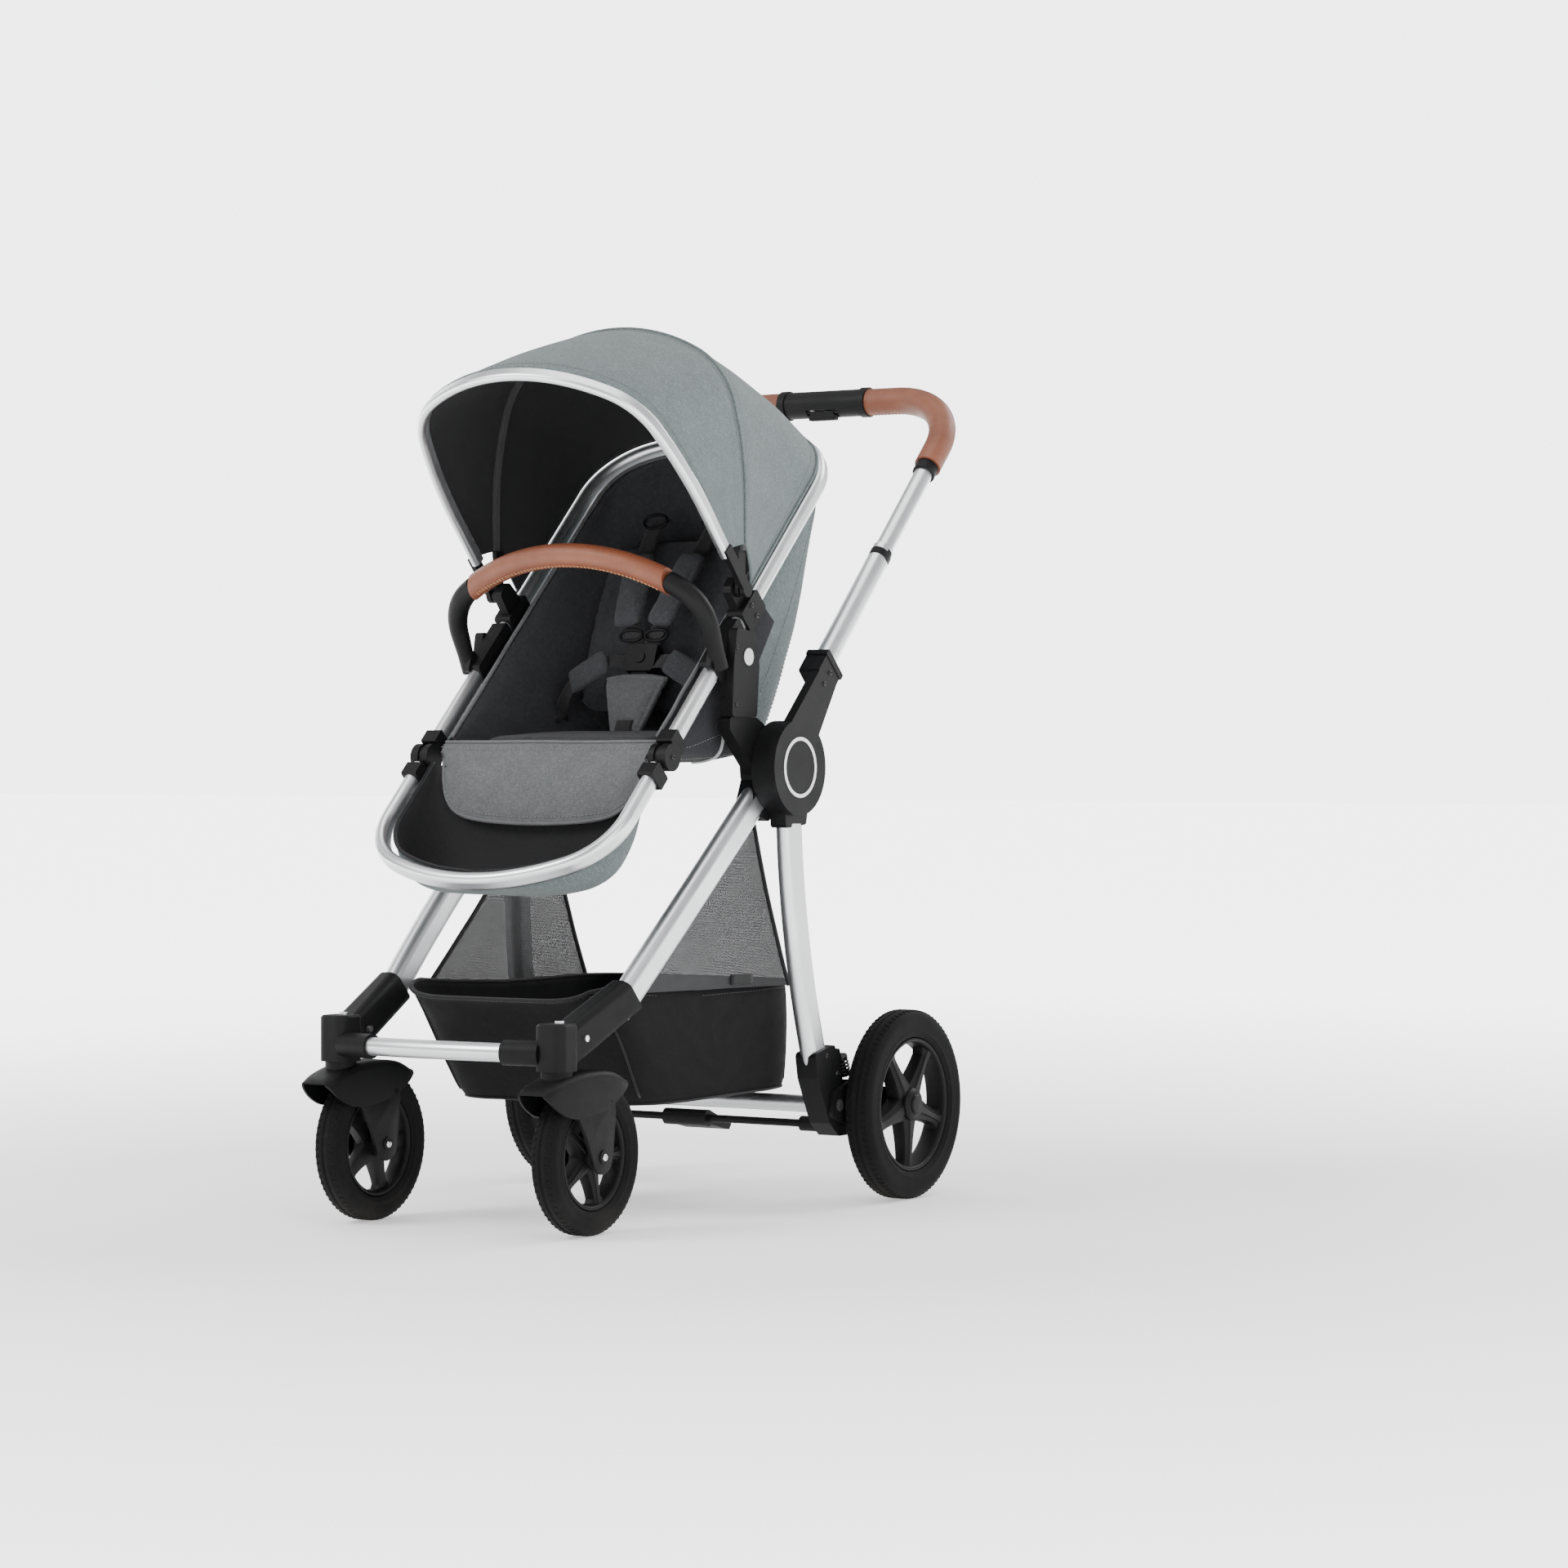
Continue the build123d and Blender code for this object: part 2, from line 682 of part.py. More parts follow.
def foot_bucket():
    # the fabric pocket below the footrest hoop
    outer = plate(foot_outline(0), -foot_half - 8, foot_half + 8)
    inner = plate(foot_outline(5), -foot_half + 4, foot_half - 4)
    cut = seat_plane()
    above = cut * Pos(0, -100, 50.5) * Box(500, 400, 100)
    outline = closed(arch(seat_half - 13, -20, foot_spring - 4, ((80, 65.1),), -1))
    room = extrude(cut * outline, 200, both=True)
    return (outer - inner - above) & room


# ---- canopy ----
def canopy_tube(angle, half, start, spring, bends, thick, deep):
    return tube(tilted(canopy_y, canopy_z, angle) * arch(half, start, spring, bends), thick, deep)


def front_hoop():
    return canopy_tube(front_hoop_angle, front_arch_half, front_start, front_spring, front_arch, 12, 20)


def mid_rib():
    return canopy_tube(mid_hoop_angle, mid_arch_half, mid_start, mid_spring, mid_arch, 7, 12)


def hoop_end(angle, reach, x_from, x_to):
    # a flat end piece that turns on the canopy pin and holds the foot of a hoop
    a = math.radians(angle)
    way = (math.cos(a), math.sin(a))
    across = (-way[1], way[0])
    spots = [(0, -8), (reach, -8), (reach, 8), (0, 8)]
    outline = [(canopy_y + d * way[0] + w * across[0],
            canopy_z + d * way[1] + w * across[1]) for d, w in spots]
    body = plate(outline, x_from, x_to) + disc(canopy_y, canopy_z, 10, x_from, x_to)
    return body - disc(canopy_y, canopy_z, canopy_pin + pin_gap, x_from - 1, x_to + 1)


def front_hoop_end():
    return hoop_end(front_hoop_angle, front_start + 10, 196.2, 203) - front_hoop()


def mid_rib_end():
    return hoop_end(mid_hoop_angle, mid_start + 8, 187.5, 193.8) - mid_rib()


def canopy_band(first, last, start):
    # a thin fabric band turned about the canopy pivot between two angles
    outer = arch(mid_arch_half + 7, start, mid_spring, [(r + 7, t) for r, t in mid_arch])
    inner = arch(mid_arch_half + 4.5, start, mid_spring, [(r + 4.5, t) for r, t in mid_arch])
    ends = Line(outer @ 0, inner @ 0).edges() + Line(outer @ 1, inner @ 1).edges()
    face = make_face(outer.edges() + inner.edges() + ends)
    axis = Axis((0, canopy_y, canopy_z), (1, 0, 0))
    return revolve(tilted(canopy_y, canopy_z, first) * face, axis=axis, revolution_arc=last - first)


def canopy_front():
    return canopy_band(mid_hoop_angle + 1, front_hoop_angle - 2, 76)


def canopy_rear():
    return canopy_band(seat_angle + 3, mid_hoop_angle - 1, 76)


# ---- bumper bar ----
def bumper_path(start, flip=1):
    return tilted(bumper_y, bumper_z, bumper_angle) * arch(bumper_half, start, 60, ((70, 58),))


def bumper_bar():
    core = round_tube(bumper_path(10), bumper_radius)
    keep = Pos(0, bumper_y - 60, bumper_z + 130) * Box(302, 200, 140)
    return core & keep


def bumper_arms():
    arm = round_tube(bumper_path(18), bumper_arm_radius)
    keep = Pos(0, bumper_y - 60, bumper_z + 130) * Box(302.6, 400, 600)
    return arm - keep


def basket():
    # the storage basket: a tub that is deeper at the back, open on top
    outer = [(-318, 262), (-270, 299), (64, 292), (62, 170), (60, 150), (-236, 146), (-324, 200)]
    inner = [(-311, 262), (-268, 305), (59, 305), (57, 170), (55, 155), (-234, 151), (-317, 202)]
    tub = plate(outer, -basket_half, basket_half, 3)
    return tub - plate(inner, -basket_half + 4, basket_half - 4)


def basket_side():
    # mesh panel from the basket's rim up to the fold pivot
    return plate([(-262, 306), (18, 300), (-30, 500), (-56, 500)], basket_half + 0.6, basket_half + 3, 2)


def build_all():
    print("front frame")
    for side, leg in sides(front_leg()).items():
        save("front_leg_" + side, leg)
    for side, core in sides(pivot_core()).items():
        save("pivot_core_" + side, core)
    for side, hub in sides(front_hub()).items():
        save("front_hub_" + side, hub)
    save("front_crossbar", crossbar())
    save("frame_pins", both(*hub_rivets(), disc(0, pivot_z, pin_radius, core_in - 0.5, outer_out - 6)))
    save("basket", basket())
    save("basket_sides", both(basket_side()))
    print("rear frame")
    for side, leg in sides(rear_leg()).items():
        save("rear_leg_" + side, leg)
    save("rear_joints", both(rear_joint()))
    save("rear_brackets", both(rear_bracket()))
    save("rear_axle", rear_axle())
    save("spring_stacks", both(spring_stack() - rear_bracket()))
    for side, arm in sides(rear_arm()).items():
        save("rear_arm_" + side, arm)
    save("brake_pedal", brake_pedal())
    print("push handle")
    for side, cap in sides(handle_disc()).items():
        save("handle_disc_" + side, cap)
    save("disc_rings", both(disc_ring()))
    save("handle_tubes", both(handle_tube()))
    save("handle_clamps", both(handle_clamp()))
    save("handle_bar", handle_bar())
    for side, grip in sides(handle_grip()).items():
        save("handle_grip_" + side, grip)
    save("grip_collars", grip_collars())
    save("handle_centre", handle_centre())
    save("fold_lever", fold_lever())
    print("wheels")
    for side, fork in sides(front_fork()).items():
        save("front_fork_" + side, fork)
    for side, ring in sides(front_tyre()).items():
        save("front_tyre_" + side, ring)
    for side, wheel in sides(front_rim()).items():
        save("front_rim_" + side, wheel)
    for side, ring in sides(rear_tyre()).items():
        save("rear_tyre_" + side, ring)
    for side, wheel in sides(rear_rim()).items():
        save("rear_rim_" + side, wheel)
    print("seat")
    save("seat_hoop", seat_hoop())
    save("seat_adaptors", both(seat_adaptor()))
    save("hoop_fittings", both(recline_hub(), canopy_clamp(), seat_knee()))
    for side, button in sides(seat_button()).items():
        save("seat_button_" + side, button)
    save("seat_shell", seat_shell())
    save("seat_pad", seat_pad() - seat_shell())
    save("buckle", buckle() - seat_pad())
    save("buckle_button", buckle_button())
    save("foot_hoop", foot_hoop())
    save("foot_knees", both(foot_knee()))
    save("foot_bucket", foot_bucket())
    print("canopy and bumper bar")
    save("front_hoop", front_hoop())
    save("mid_rib", mid_rib())
    save("front_hoop_ends", both(front_hoop_end()))
    save("mid_rib_ends", both(mid_rib_end()))
    save("canopy_front", canopy_front())
    save("canopy_rear", canopy_rear())
    save("bumper_bar", bumper_bar())
    save("bumper_arms", bumper_arms())


build_all()
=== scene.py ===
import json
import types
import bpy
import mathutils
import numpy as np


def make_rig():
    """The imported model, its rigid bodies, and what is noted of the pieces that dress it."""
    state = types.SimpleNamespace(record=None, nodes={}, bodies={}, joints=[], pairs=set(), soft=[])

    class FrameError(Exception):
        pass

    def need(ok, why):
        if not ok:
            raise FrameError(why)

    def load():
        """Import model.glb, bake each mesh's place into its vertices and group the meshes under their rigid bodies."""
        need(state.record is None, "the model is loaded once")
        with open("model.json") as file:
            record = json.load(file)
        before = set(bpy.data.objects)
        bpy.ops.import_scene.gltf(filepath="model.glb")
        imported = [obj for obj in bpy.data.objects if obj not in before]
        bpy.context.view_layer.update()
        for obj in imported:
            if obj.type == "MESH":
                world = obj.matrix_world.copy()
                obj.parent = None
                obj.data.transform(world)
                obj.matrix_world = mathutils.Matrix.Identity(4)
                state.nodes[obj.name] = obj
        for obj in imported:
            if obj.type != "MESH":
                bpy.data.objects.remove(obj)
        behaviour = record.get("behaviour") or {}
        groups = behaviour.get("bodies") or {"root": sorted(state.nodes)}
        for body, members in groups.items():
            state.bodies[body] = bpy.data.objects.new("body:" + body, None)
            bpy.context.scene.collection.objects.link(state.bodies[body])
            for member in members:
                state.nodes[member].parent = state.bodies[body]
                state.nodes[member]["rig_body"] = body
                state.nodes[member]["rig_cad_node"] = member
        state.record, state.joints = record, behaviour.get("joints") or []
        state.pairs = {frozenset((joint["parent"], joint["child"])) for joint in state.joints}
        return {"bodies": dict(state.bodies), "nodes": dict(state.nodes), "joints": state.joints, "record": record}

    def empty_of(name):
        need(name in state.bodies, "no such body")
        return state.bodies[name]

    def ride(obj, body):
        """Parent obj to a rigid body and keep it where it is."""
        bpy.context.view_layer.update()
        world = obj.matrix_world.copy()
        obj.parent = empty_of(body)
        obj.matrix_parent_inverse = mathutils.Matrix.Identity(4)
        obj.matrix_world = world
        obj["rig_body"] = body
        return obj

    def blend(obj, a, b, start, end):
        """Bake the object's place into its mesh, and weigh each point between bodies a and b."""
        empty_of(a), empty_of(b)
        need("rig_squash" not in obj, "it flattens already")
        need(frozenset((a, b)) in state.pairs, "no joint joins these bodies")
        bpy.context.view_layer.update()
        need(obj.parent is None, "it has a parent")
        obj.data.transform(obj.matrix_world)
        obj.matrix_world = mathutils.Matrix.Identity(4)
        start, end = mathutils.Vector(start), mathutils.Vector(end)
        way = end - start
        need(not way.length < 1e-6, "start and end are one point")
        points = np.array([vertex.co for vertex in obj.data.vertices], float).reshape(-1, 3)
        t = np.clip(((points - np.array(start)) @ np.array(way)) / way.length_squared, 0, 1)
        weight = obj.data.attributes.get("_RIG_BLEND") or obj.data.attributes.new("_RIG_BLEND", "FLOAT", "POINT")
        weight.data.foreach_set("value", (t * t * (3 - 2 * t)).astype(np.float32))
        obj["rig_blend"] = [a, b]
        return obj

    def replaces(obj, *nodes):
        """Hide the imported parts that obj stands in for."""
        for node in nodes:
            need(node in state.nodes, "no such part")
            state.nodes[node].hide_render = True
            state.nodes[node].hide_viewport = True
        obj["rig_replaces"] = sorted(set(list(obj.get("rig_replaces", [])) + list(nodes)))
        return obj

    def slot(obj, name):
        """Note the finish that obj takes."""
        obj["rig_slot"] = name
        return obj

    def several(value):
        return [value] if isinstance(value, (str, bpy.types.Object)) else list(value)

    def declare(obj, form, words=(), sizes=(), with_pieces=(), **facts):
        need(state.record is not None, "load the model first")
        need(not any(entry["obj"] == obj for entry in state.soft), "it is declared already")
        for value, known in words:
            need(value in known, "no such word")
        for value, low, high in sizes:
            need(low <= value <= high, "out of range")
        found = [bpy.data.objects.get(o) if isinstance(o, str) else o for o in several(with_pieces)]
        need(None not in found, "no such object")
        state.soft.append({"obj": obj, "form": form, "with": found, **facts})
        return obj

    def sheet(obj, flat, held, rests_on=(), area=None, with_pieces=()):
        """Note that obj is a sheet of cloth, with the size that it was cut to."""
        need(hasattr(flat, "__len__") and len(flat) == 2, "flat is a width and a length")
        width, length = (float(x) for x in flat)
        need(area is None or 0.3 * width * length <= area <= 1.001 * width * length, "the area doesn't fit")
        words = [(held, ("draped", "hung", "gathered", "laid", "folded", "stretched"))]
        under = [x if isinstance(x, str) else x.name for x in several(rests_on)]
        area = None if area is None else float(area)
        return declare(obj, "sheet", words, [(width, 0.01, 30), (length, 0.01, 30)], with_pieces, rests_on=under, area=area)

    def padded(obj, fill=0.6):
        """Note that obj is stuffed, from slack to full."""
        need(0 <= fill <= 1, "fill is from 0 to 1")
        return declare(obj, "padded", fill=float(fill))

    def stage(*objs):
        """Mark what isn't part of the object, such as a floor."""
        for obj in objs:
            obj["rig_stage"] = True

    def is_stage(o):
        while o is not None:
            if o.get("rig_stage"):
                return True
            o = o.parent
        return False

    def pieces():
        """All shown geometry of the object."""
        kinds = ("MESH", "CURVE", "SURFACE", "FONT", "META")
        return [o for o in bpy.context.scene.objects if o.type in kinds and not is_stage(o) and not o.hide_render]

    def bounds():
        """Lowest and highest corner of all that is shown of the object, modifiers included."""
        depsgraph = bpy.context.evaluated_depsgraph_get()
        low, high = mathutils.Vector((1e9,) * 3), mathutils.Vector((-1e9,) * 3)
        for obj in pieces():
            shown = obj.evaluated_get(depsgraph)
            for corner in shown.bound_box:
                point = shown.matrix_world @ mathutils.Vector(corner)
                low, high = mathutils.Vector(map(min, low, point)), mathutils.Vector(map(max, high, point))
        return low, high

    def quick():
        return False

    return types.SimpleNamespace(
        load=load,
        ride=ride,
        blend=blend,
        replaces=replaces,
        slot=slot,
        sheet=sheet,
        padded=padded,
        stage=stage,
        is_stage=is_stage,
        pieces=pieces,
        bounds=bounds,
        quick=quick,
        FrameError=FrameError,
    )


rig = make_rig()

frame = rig.load()
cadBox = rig.bounds()

import json
import math

import bmesh
import bpy
import numpy as np
from mathutils import Matrix, Vector, noise

# A folding stroller with a reclining canopy seat. Side-view sizes below are in millimetres from
# the fold pivot's line, as the frame has them; at() turns them into scene metres.
setback = 5.94
bothSides = ((1, "left"), (-1, "right"))
scene = bpy.context.scene


def at(x, y, z):
    return Vector((x, y + setback, z)) * 0.001


# small mesh helpers
def newKit():
    return {"points": [], "faces": [], "slots": [], "uv": []}


def addPoints(kit, points):
    first = len(kit["points"])
    kit["points"].extend([tuple(p) for p in points])
    return first


def addFace(kit, corners, slot=0, uv=None):
    kit["faces"].append(tuple(corners))
    kit["slots"].append(slot)
    kit["uv"].append(uv if uv is not None else [(0.0, 0.0)] * len(corners))


def clothMap(rows):
    # metres along and across the cloth, so a weave keeps its size everywhere
    across = np.concatenate([np.zeros((len(rows), 1)),
        np.cumsum(np.linalg.norm(np.diff(rows, axis=1), axis=2), axis=1)], axis=1)
    across -= across[:, across.shape[1] // 2][:, None]
    middle = rows[:, rows.shape[1] // 2]
    down = np.concatenate([[0], np.cumsum(np.linalg.norm(np.diff(middle, axis=0), axis=1))])
    return np.stack([across, np.repeat(down[:, None], rows.shape[1], axis=1)], axis=2)


def addGrid(kit, rows, slot=0, loop=False, flip=False, slotOf=None):
    rows = np.asarray(rows, float)
    high, wide = rows.shape[:2]
    uv = clothMap(np.concatenate([rows, rows[:, :1]], axis=1) if loop else rows)
    first = addPoints(kit, rows.reshape(-1, 3))
    for i in range(high - 1):
        for j in range(wide if loop else wide - 1):
            k = (j + 1) % wide
            quad = [first + i * wide + j, first + i * wide + k, first + (i + 1) * wide + k,
                first + (i + 1) * wide + j]
            spots = [uv[i, j], uv[i, j + 1], uv[i + 1, j + 1], uv[i + 1, j]]
            if flip:
                quad.reverse()
                spots.reverse()
            addFace(kit, quad, slotOf(i, j) if slotOf else slot, spots)
    return first


def surfaceNormals(rows, loop=False):
    rows = np.asarray(rows, float)
    if loop:
        round = np.concatenate([rows[:, -1:], rows, rows[:, :1]], axis=1)
        across = (round[:, 2:] - round[:, :-2]) / 2
    else:
        across = np.gradient(rows, axis=1)
    down = np.gradient(rows, axis=0)
    normals = np.cross(across, down)
    size = np.linalg.norm(normals, axis=2, keepdims=True)
    good = size[..., 0] > 1e-12
    normals = normals / np.maximum(size, 1e-12)
    for i, j in zip(*np.where(~good)):  # a pole borrows its neighbour's normal
        near = normals[max(i - 1, 0), j] if i else normals[1, j]
        normals[i, j] = near
    return normals


def addCloth(kit, rows, thick, outer=0, inner=0, loop=False, side=1, slotOf=None, rim=None):
    # two layers and the edges that join them; side says which way the outer layer faces
    rows = np.asarray(rows, float)
    high, wide = rows.shape[:2]
    normals = surfaceNormals(rows, loop) * side
    back = rows - normals * thick
    a = addGrid(kit, rows, outer, loop, flip=side < 0, slotOf=slotOf)
    b = addGrid(kit, back, inner, loop, flip=side > 0)
    rim = outer if rim is None else rim
    edge = []
    last = wide if loop else wide - 1
    edge += [(j, (j + 1) % wide) for j in range(last)]
    edge += [((high - 1) * wide + (j + 1) % wide, (high - 1) * wide + j) for j in range(last)]
    if not loop:
        edge += [((i + 1) * wide, i * wide) for i in range(high - 1)]
        edge += [(i * wide + wide - 1, (i + 1) * wide + wide - 1) for i in range(high - 1)]
    for p, q in edge:
        quad = [a + q, a + p, b + p, b + q]
        if side < 0:
            quad.reverse()
        addFace(kit, quad, rim, [(0, 0), (0.01, 0), (0.01, thick), (0, thick)])


def smoothPath(points, count, closed=False, rounds=2):
    # an even run of points on a smooth line through the given ones
    line = np.asarray([tuple(p) for p in points], float)
    if closed:
        line = np.vstack([line, line[:1]])
    for _ in range(rounds):
        fine = [line[0]]
        for a, b in zip(line[:-1], line[1:]):
            fine += [a * 0.75 + b * 0.25, a * 0.25 + b * 0.75]
        fine.append(line[-1])
        line = np.array(fine)
        if closed:
            line = line[1:-1]
            line = np.vstack([line, line[:1]])
    far = np.concatenate([[0], np.cumsum(np.linalg.norm(np.diff(line, axis=0), axis=1))])
    spots = np.linspace(0, far[-1], count + 1 if closed else count)
    out = np.stack([np.interp(spots, far, line[:, k]) for k in range(3)], axis=1)
    return out[:-1] if closed else out


def frames(line, closed=False, up=None):
    # a steady pair of side directions at each point of a line
    line = np.asarray(line, float)
    if closed:
        way = np.roll(line, -1, axis=0) - np.roll(line, 1, axis=0)
    else:
        way = np.gradient(line, axis=0)
    way /= np.maximum(np.linalg.norm(way, axis=1, keepdims=True), 1e-12)
    sides = []
    last = np.array(up if up is not None else (0.123, 0.456, 0.88), float)
    for w in way:
        one = last - w * np.dot(last, w)
        if np.linalg.norm(one) < 1e-6:
            one = np.cross(w, (1, 0, 0))
        one /= np.linalg.norm(one)
        sides.append(one)
        if up is None:
            last = one
    sides = np.array(sides)
    return sides, np.cross(way, sides)


def addTube(kit, line, radius, slot=0, closed=False, sides=8, flat=1.0, up=None):
    # a round or flattened tube; flat squeezes it along the first side direction
    line = np.asarray([tuple(p) for p in line], float)
    one, two = frames(line, closed, up)
    turn = np.linspace(0, 2 * np.pi, sides, endpoint=False)
    rings = line[:, None] + radius * (np.cos(turn)[None, :, None] * one[:, None] * flat + np.sin(turn)[None,
        :, None] * two[:, None])
    if closed:
        rings = np.concatenate([rings, rings[:1]])
    first = addGrid(kit, rings, slot, loop=True)
    if not closed:
        for start, step in ((first, 1), (first + (len(line) - 1) * sides, -1)):
            corners = [start + k for k in range(sides)]
            addFace(kit, corners[::-1] if step < 0 else corners, slot)


def addStrap(kit, line, wide, thick, up, slot=0):
    # flat webbing with softly rounded edges along a line; up is the way its flat face looks
    line = np.asarray([tuple(p) for p in line], float)
    ups = np.array(up, float)
    way = np.gradient(line, axis=0)
    way /= np.linalg.norm(way, axis=1, keepdims=True)
    ups = np.broadcast_to(ups, line.shape)
    ups = ups - way * np.sum(ups * way, axis=1, keepdims=True)
    ups = ups / np.linalg.norm(ups, axis=1, keepdims=True)
    across = np.cross(way, ups)
    w = np.broadcast_to(np.asarray(wide, float), (len(line),))[:, None] / 2
    shape = [(-1, 0), (-0.96, 0.5), (-0.6, 0.5), (0, 0.5), (0.6, 0.5), (0.96, 0.5), (1, 0), (0.96, -0.5),
        (0.6, -0.5), (0, -0.5), (-0.6, -0.5), (-0.96, -0.5)]
    rings = np.stack([line + across * w * a + ups * thick * b for a, b in shape], axis=1)
    first = addGrid(kit, rings, slot, loop=True, flip=True)
    n = len(shape)
    addFace(kit, [first + k for k in range(n)][::-1], slot)
    addFace(kit, [first + (len(line) - 1) * n + k for k in range(n)], slot)


def pieceFrom(kit, name, materials, fixNormals=True, weld=1e-6):
    mesh = bpy.data.meshes.new(name)
    mesh.from_pydata(kit["points"], [], kit["faces"])
    layer = mesh.uv_layers.new(name="clothMap")
    layer.data.foreach_set("uv", np.array([c for face in kit["uv"] for c in face], np.float32).ravel())
    mesh.polygons.foreach_set("material_index", np.array(kit["slots"], np.int32))
    for material in materials:
        mesh.materials.append(material)
    shape = bmesh.new()
    shape.from_mesh(mesh)
    bmesh.ops.remove_doubles(shape, verts=shape.verts, dist=weld)
    if fixNormals:
        bmesh.ops.recalc_face_normals(shape, faces=shape.faces)
    shape.to_mesh(mesh)
    shape.free()
    mesh.polygons.foreach_set("use_smooth", [True] * len(mesh.polygons))
    piece = bpy.data.objects.new(name, mesh)
    scene.collection.objects.link(piece)
    return piece


def softened(piece, levels=1):
    modifier = piece.modifiers.new("soften", "SUBSURF")
    modifier.levels = levels
    modifier.render_levels = levels
    return piece


def sharpened(piece, degrees=35):
    piece.data.set_sharp_from_angle(angle=math.radians(degrees))
    return piece


def applied(piece):
    # bakes a piece's modifiers into its mesh
    graph = bpy.context.evaluated_depsgraph_get()
    mesh = bpy.data.meshes.new_from_object(piece.evaluated_get(graph), preserve_all_data_layers=True,
        depsgraph=graph)
    piece.modifiers.clear()
    piece.data = mesh
    return piece


def clothArea(rows):
    rows = np.asarray(rows, float)
    a = np.cross(rows[:-1, 1:] - rows[:-1, :-1], rows[1:, :-1] - rows[:-1, :-1])
    b = np.cross(rows[1:, :-1] - rows[1:, 1:], rows[:-1, 1:] - rows[1:, 1:])
    return float((np.linalg.norm(a, axis=2).sum() + np.linalg.norm(b, axis=2).sum()) / 2)


def cutSize(rows):
    # the longest run across and down, and the area of the flat cut
    rows = np.asarray(rows, float)
    wide = np.linalg.norm(np.diff(rows, axis=1), axis=2).sum(axis=1).max()
    long = np.linalg.norm(np.diff(rows, axis=0), axis=2).sum(axis=0).max()
    area = clothArea(rows)
    if area < 0.32 * wide * long:
        wide = wide * area / (0.32 * wide * long)
    return (float(wide), float(long)), float(min(area, wide * long))


def wrinkled(rows, size, reach, seed=0.0, keep=None):
    # slow, shallow folds; keep is a mask that fades them out at held edges
    rows = np.asarray(rows, float)
    normals = surfaceNormals(rows)
    out = rows.copy()
    for i in range(rows.shape[0]):
        for j in range(rows.shape[1]):
            p = Vector(rows[i, j]) / reach + Vector((seed, seed * 2.3, seed * 0.7))
            amount = noise.noise(p) + 0.5 * noise.noise(p * 2.1)
            weight = 1.0 if keep is None else keep[i, j]
            out[i, j] += normals[i, j] * amount * size * weight
    return out


# shader helpers
def wire(tree, a, b):
    tree.links.new(a, b)


def nodeWith(tree, kind, values):
    # a new node with each input wired to a socket or set to a plain value
    node = tree.nodes.new(kind)
    for key, value in values.items():
        if isinstance(value, bpy.types.NodeSocket):
            wire(tree, value, node.inputs[key])
        else:
            node.inputs[key].default_value = value
    return node


def mathNode(tree, work, one, two=None, three=None, clamp=False):
    node = tree.nodes.new("ShaderNodeMath")
    node.operation = work
    node.use_clamp = clamp
    for socket, value in zip(node.inputs, (one, two, three)):
        if value is None:
            continue
        if isinstance(value, (int, float)):
            socket.default_value = value
        else:
            wire(tree, value, socket)
    return node.outputs[0]


def times(tree, one, two):
    return mathNode(tree, "MULTIPLY", one, two)


def plus(tree, one, two):
    return mathNode(tree, "ADD", one, two)


def mixColour(tree, amount, one, two, way="MIX"):
    node = tree.nodes.new("ShaderNodeMix")
    node.data_type = "RGBA"
    node.blend_type = way
    for socket, value in ((node.inputs[0], amount), (node.inputs[6], one), (node.inputs[7], two)):
        if isinstance(value, (int, float)):
            socket.default_value = value
        elif isinstance(value, (tuple, list)):
            socket.default_value = tuple(value) + (1.0,) * (4 - len(value))
        else:
            wire(tree, value, socket)
    return node.outputs[2]


def noiseNode(tree, vector, scale, detail=3.0, rough=0.55):
    node = nodeWith(tree, "ShaderNodeTexNoise", {"Scale": scale, "Detail": detail, "Roughness": rough,
        "Vector": vector})
    return node.outputs["Fac"]


def stretch(tree, vector, size):
    node = nodeWith(tree, "ShaderNodeMapping", {"Scale": size, "Vector": vector})
    return node.outputs[0]


def remap(tree, value, low, high, toLow=0.0, toHigh=1.0):
    node = tree.nodes.new("ShaderNodeMapRange")
    for socket, number in zip(list(node.inputs)[1:5], (low, high, toLow, toHigh)):
        socket.default_value = number
    wire(tree, value, node.inputs[0])
    return node.outputs[0]


def newGroup(name, inputs, outputs):
    group = bpy.data.node_groups.new(name, "ShaderNodeTree")
    for label, kind, value in inputs:
        socket = group.interface.new_socket(label, in_out="INPUT", socket_type="NodeSocket" + kind)
        if value is not None:
            socket.default_value = value
    for label, kind in outputs:
        group.interface.new_socket(label, in_out="OUTPUT", socket_type="NodeSocket" + kind)
    return group, group.nodes.new("NodeGroupInput").outputs, group.nodes.new("NodeGroupOutput").inputs


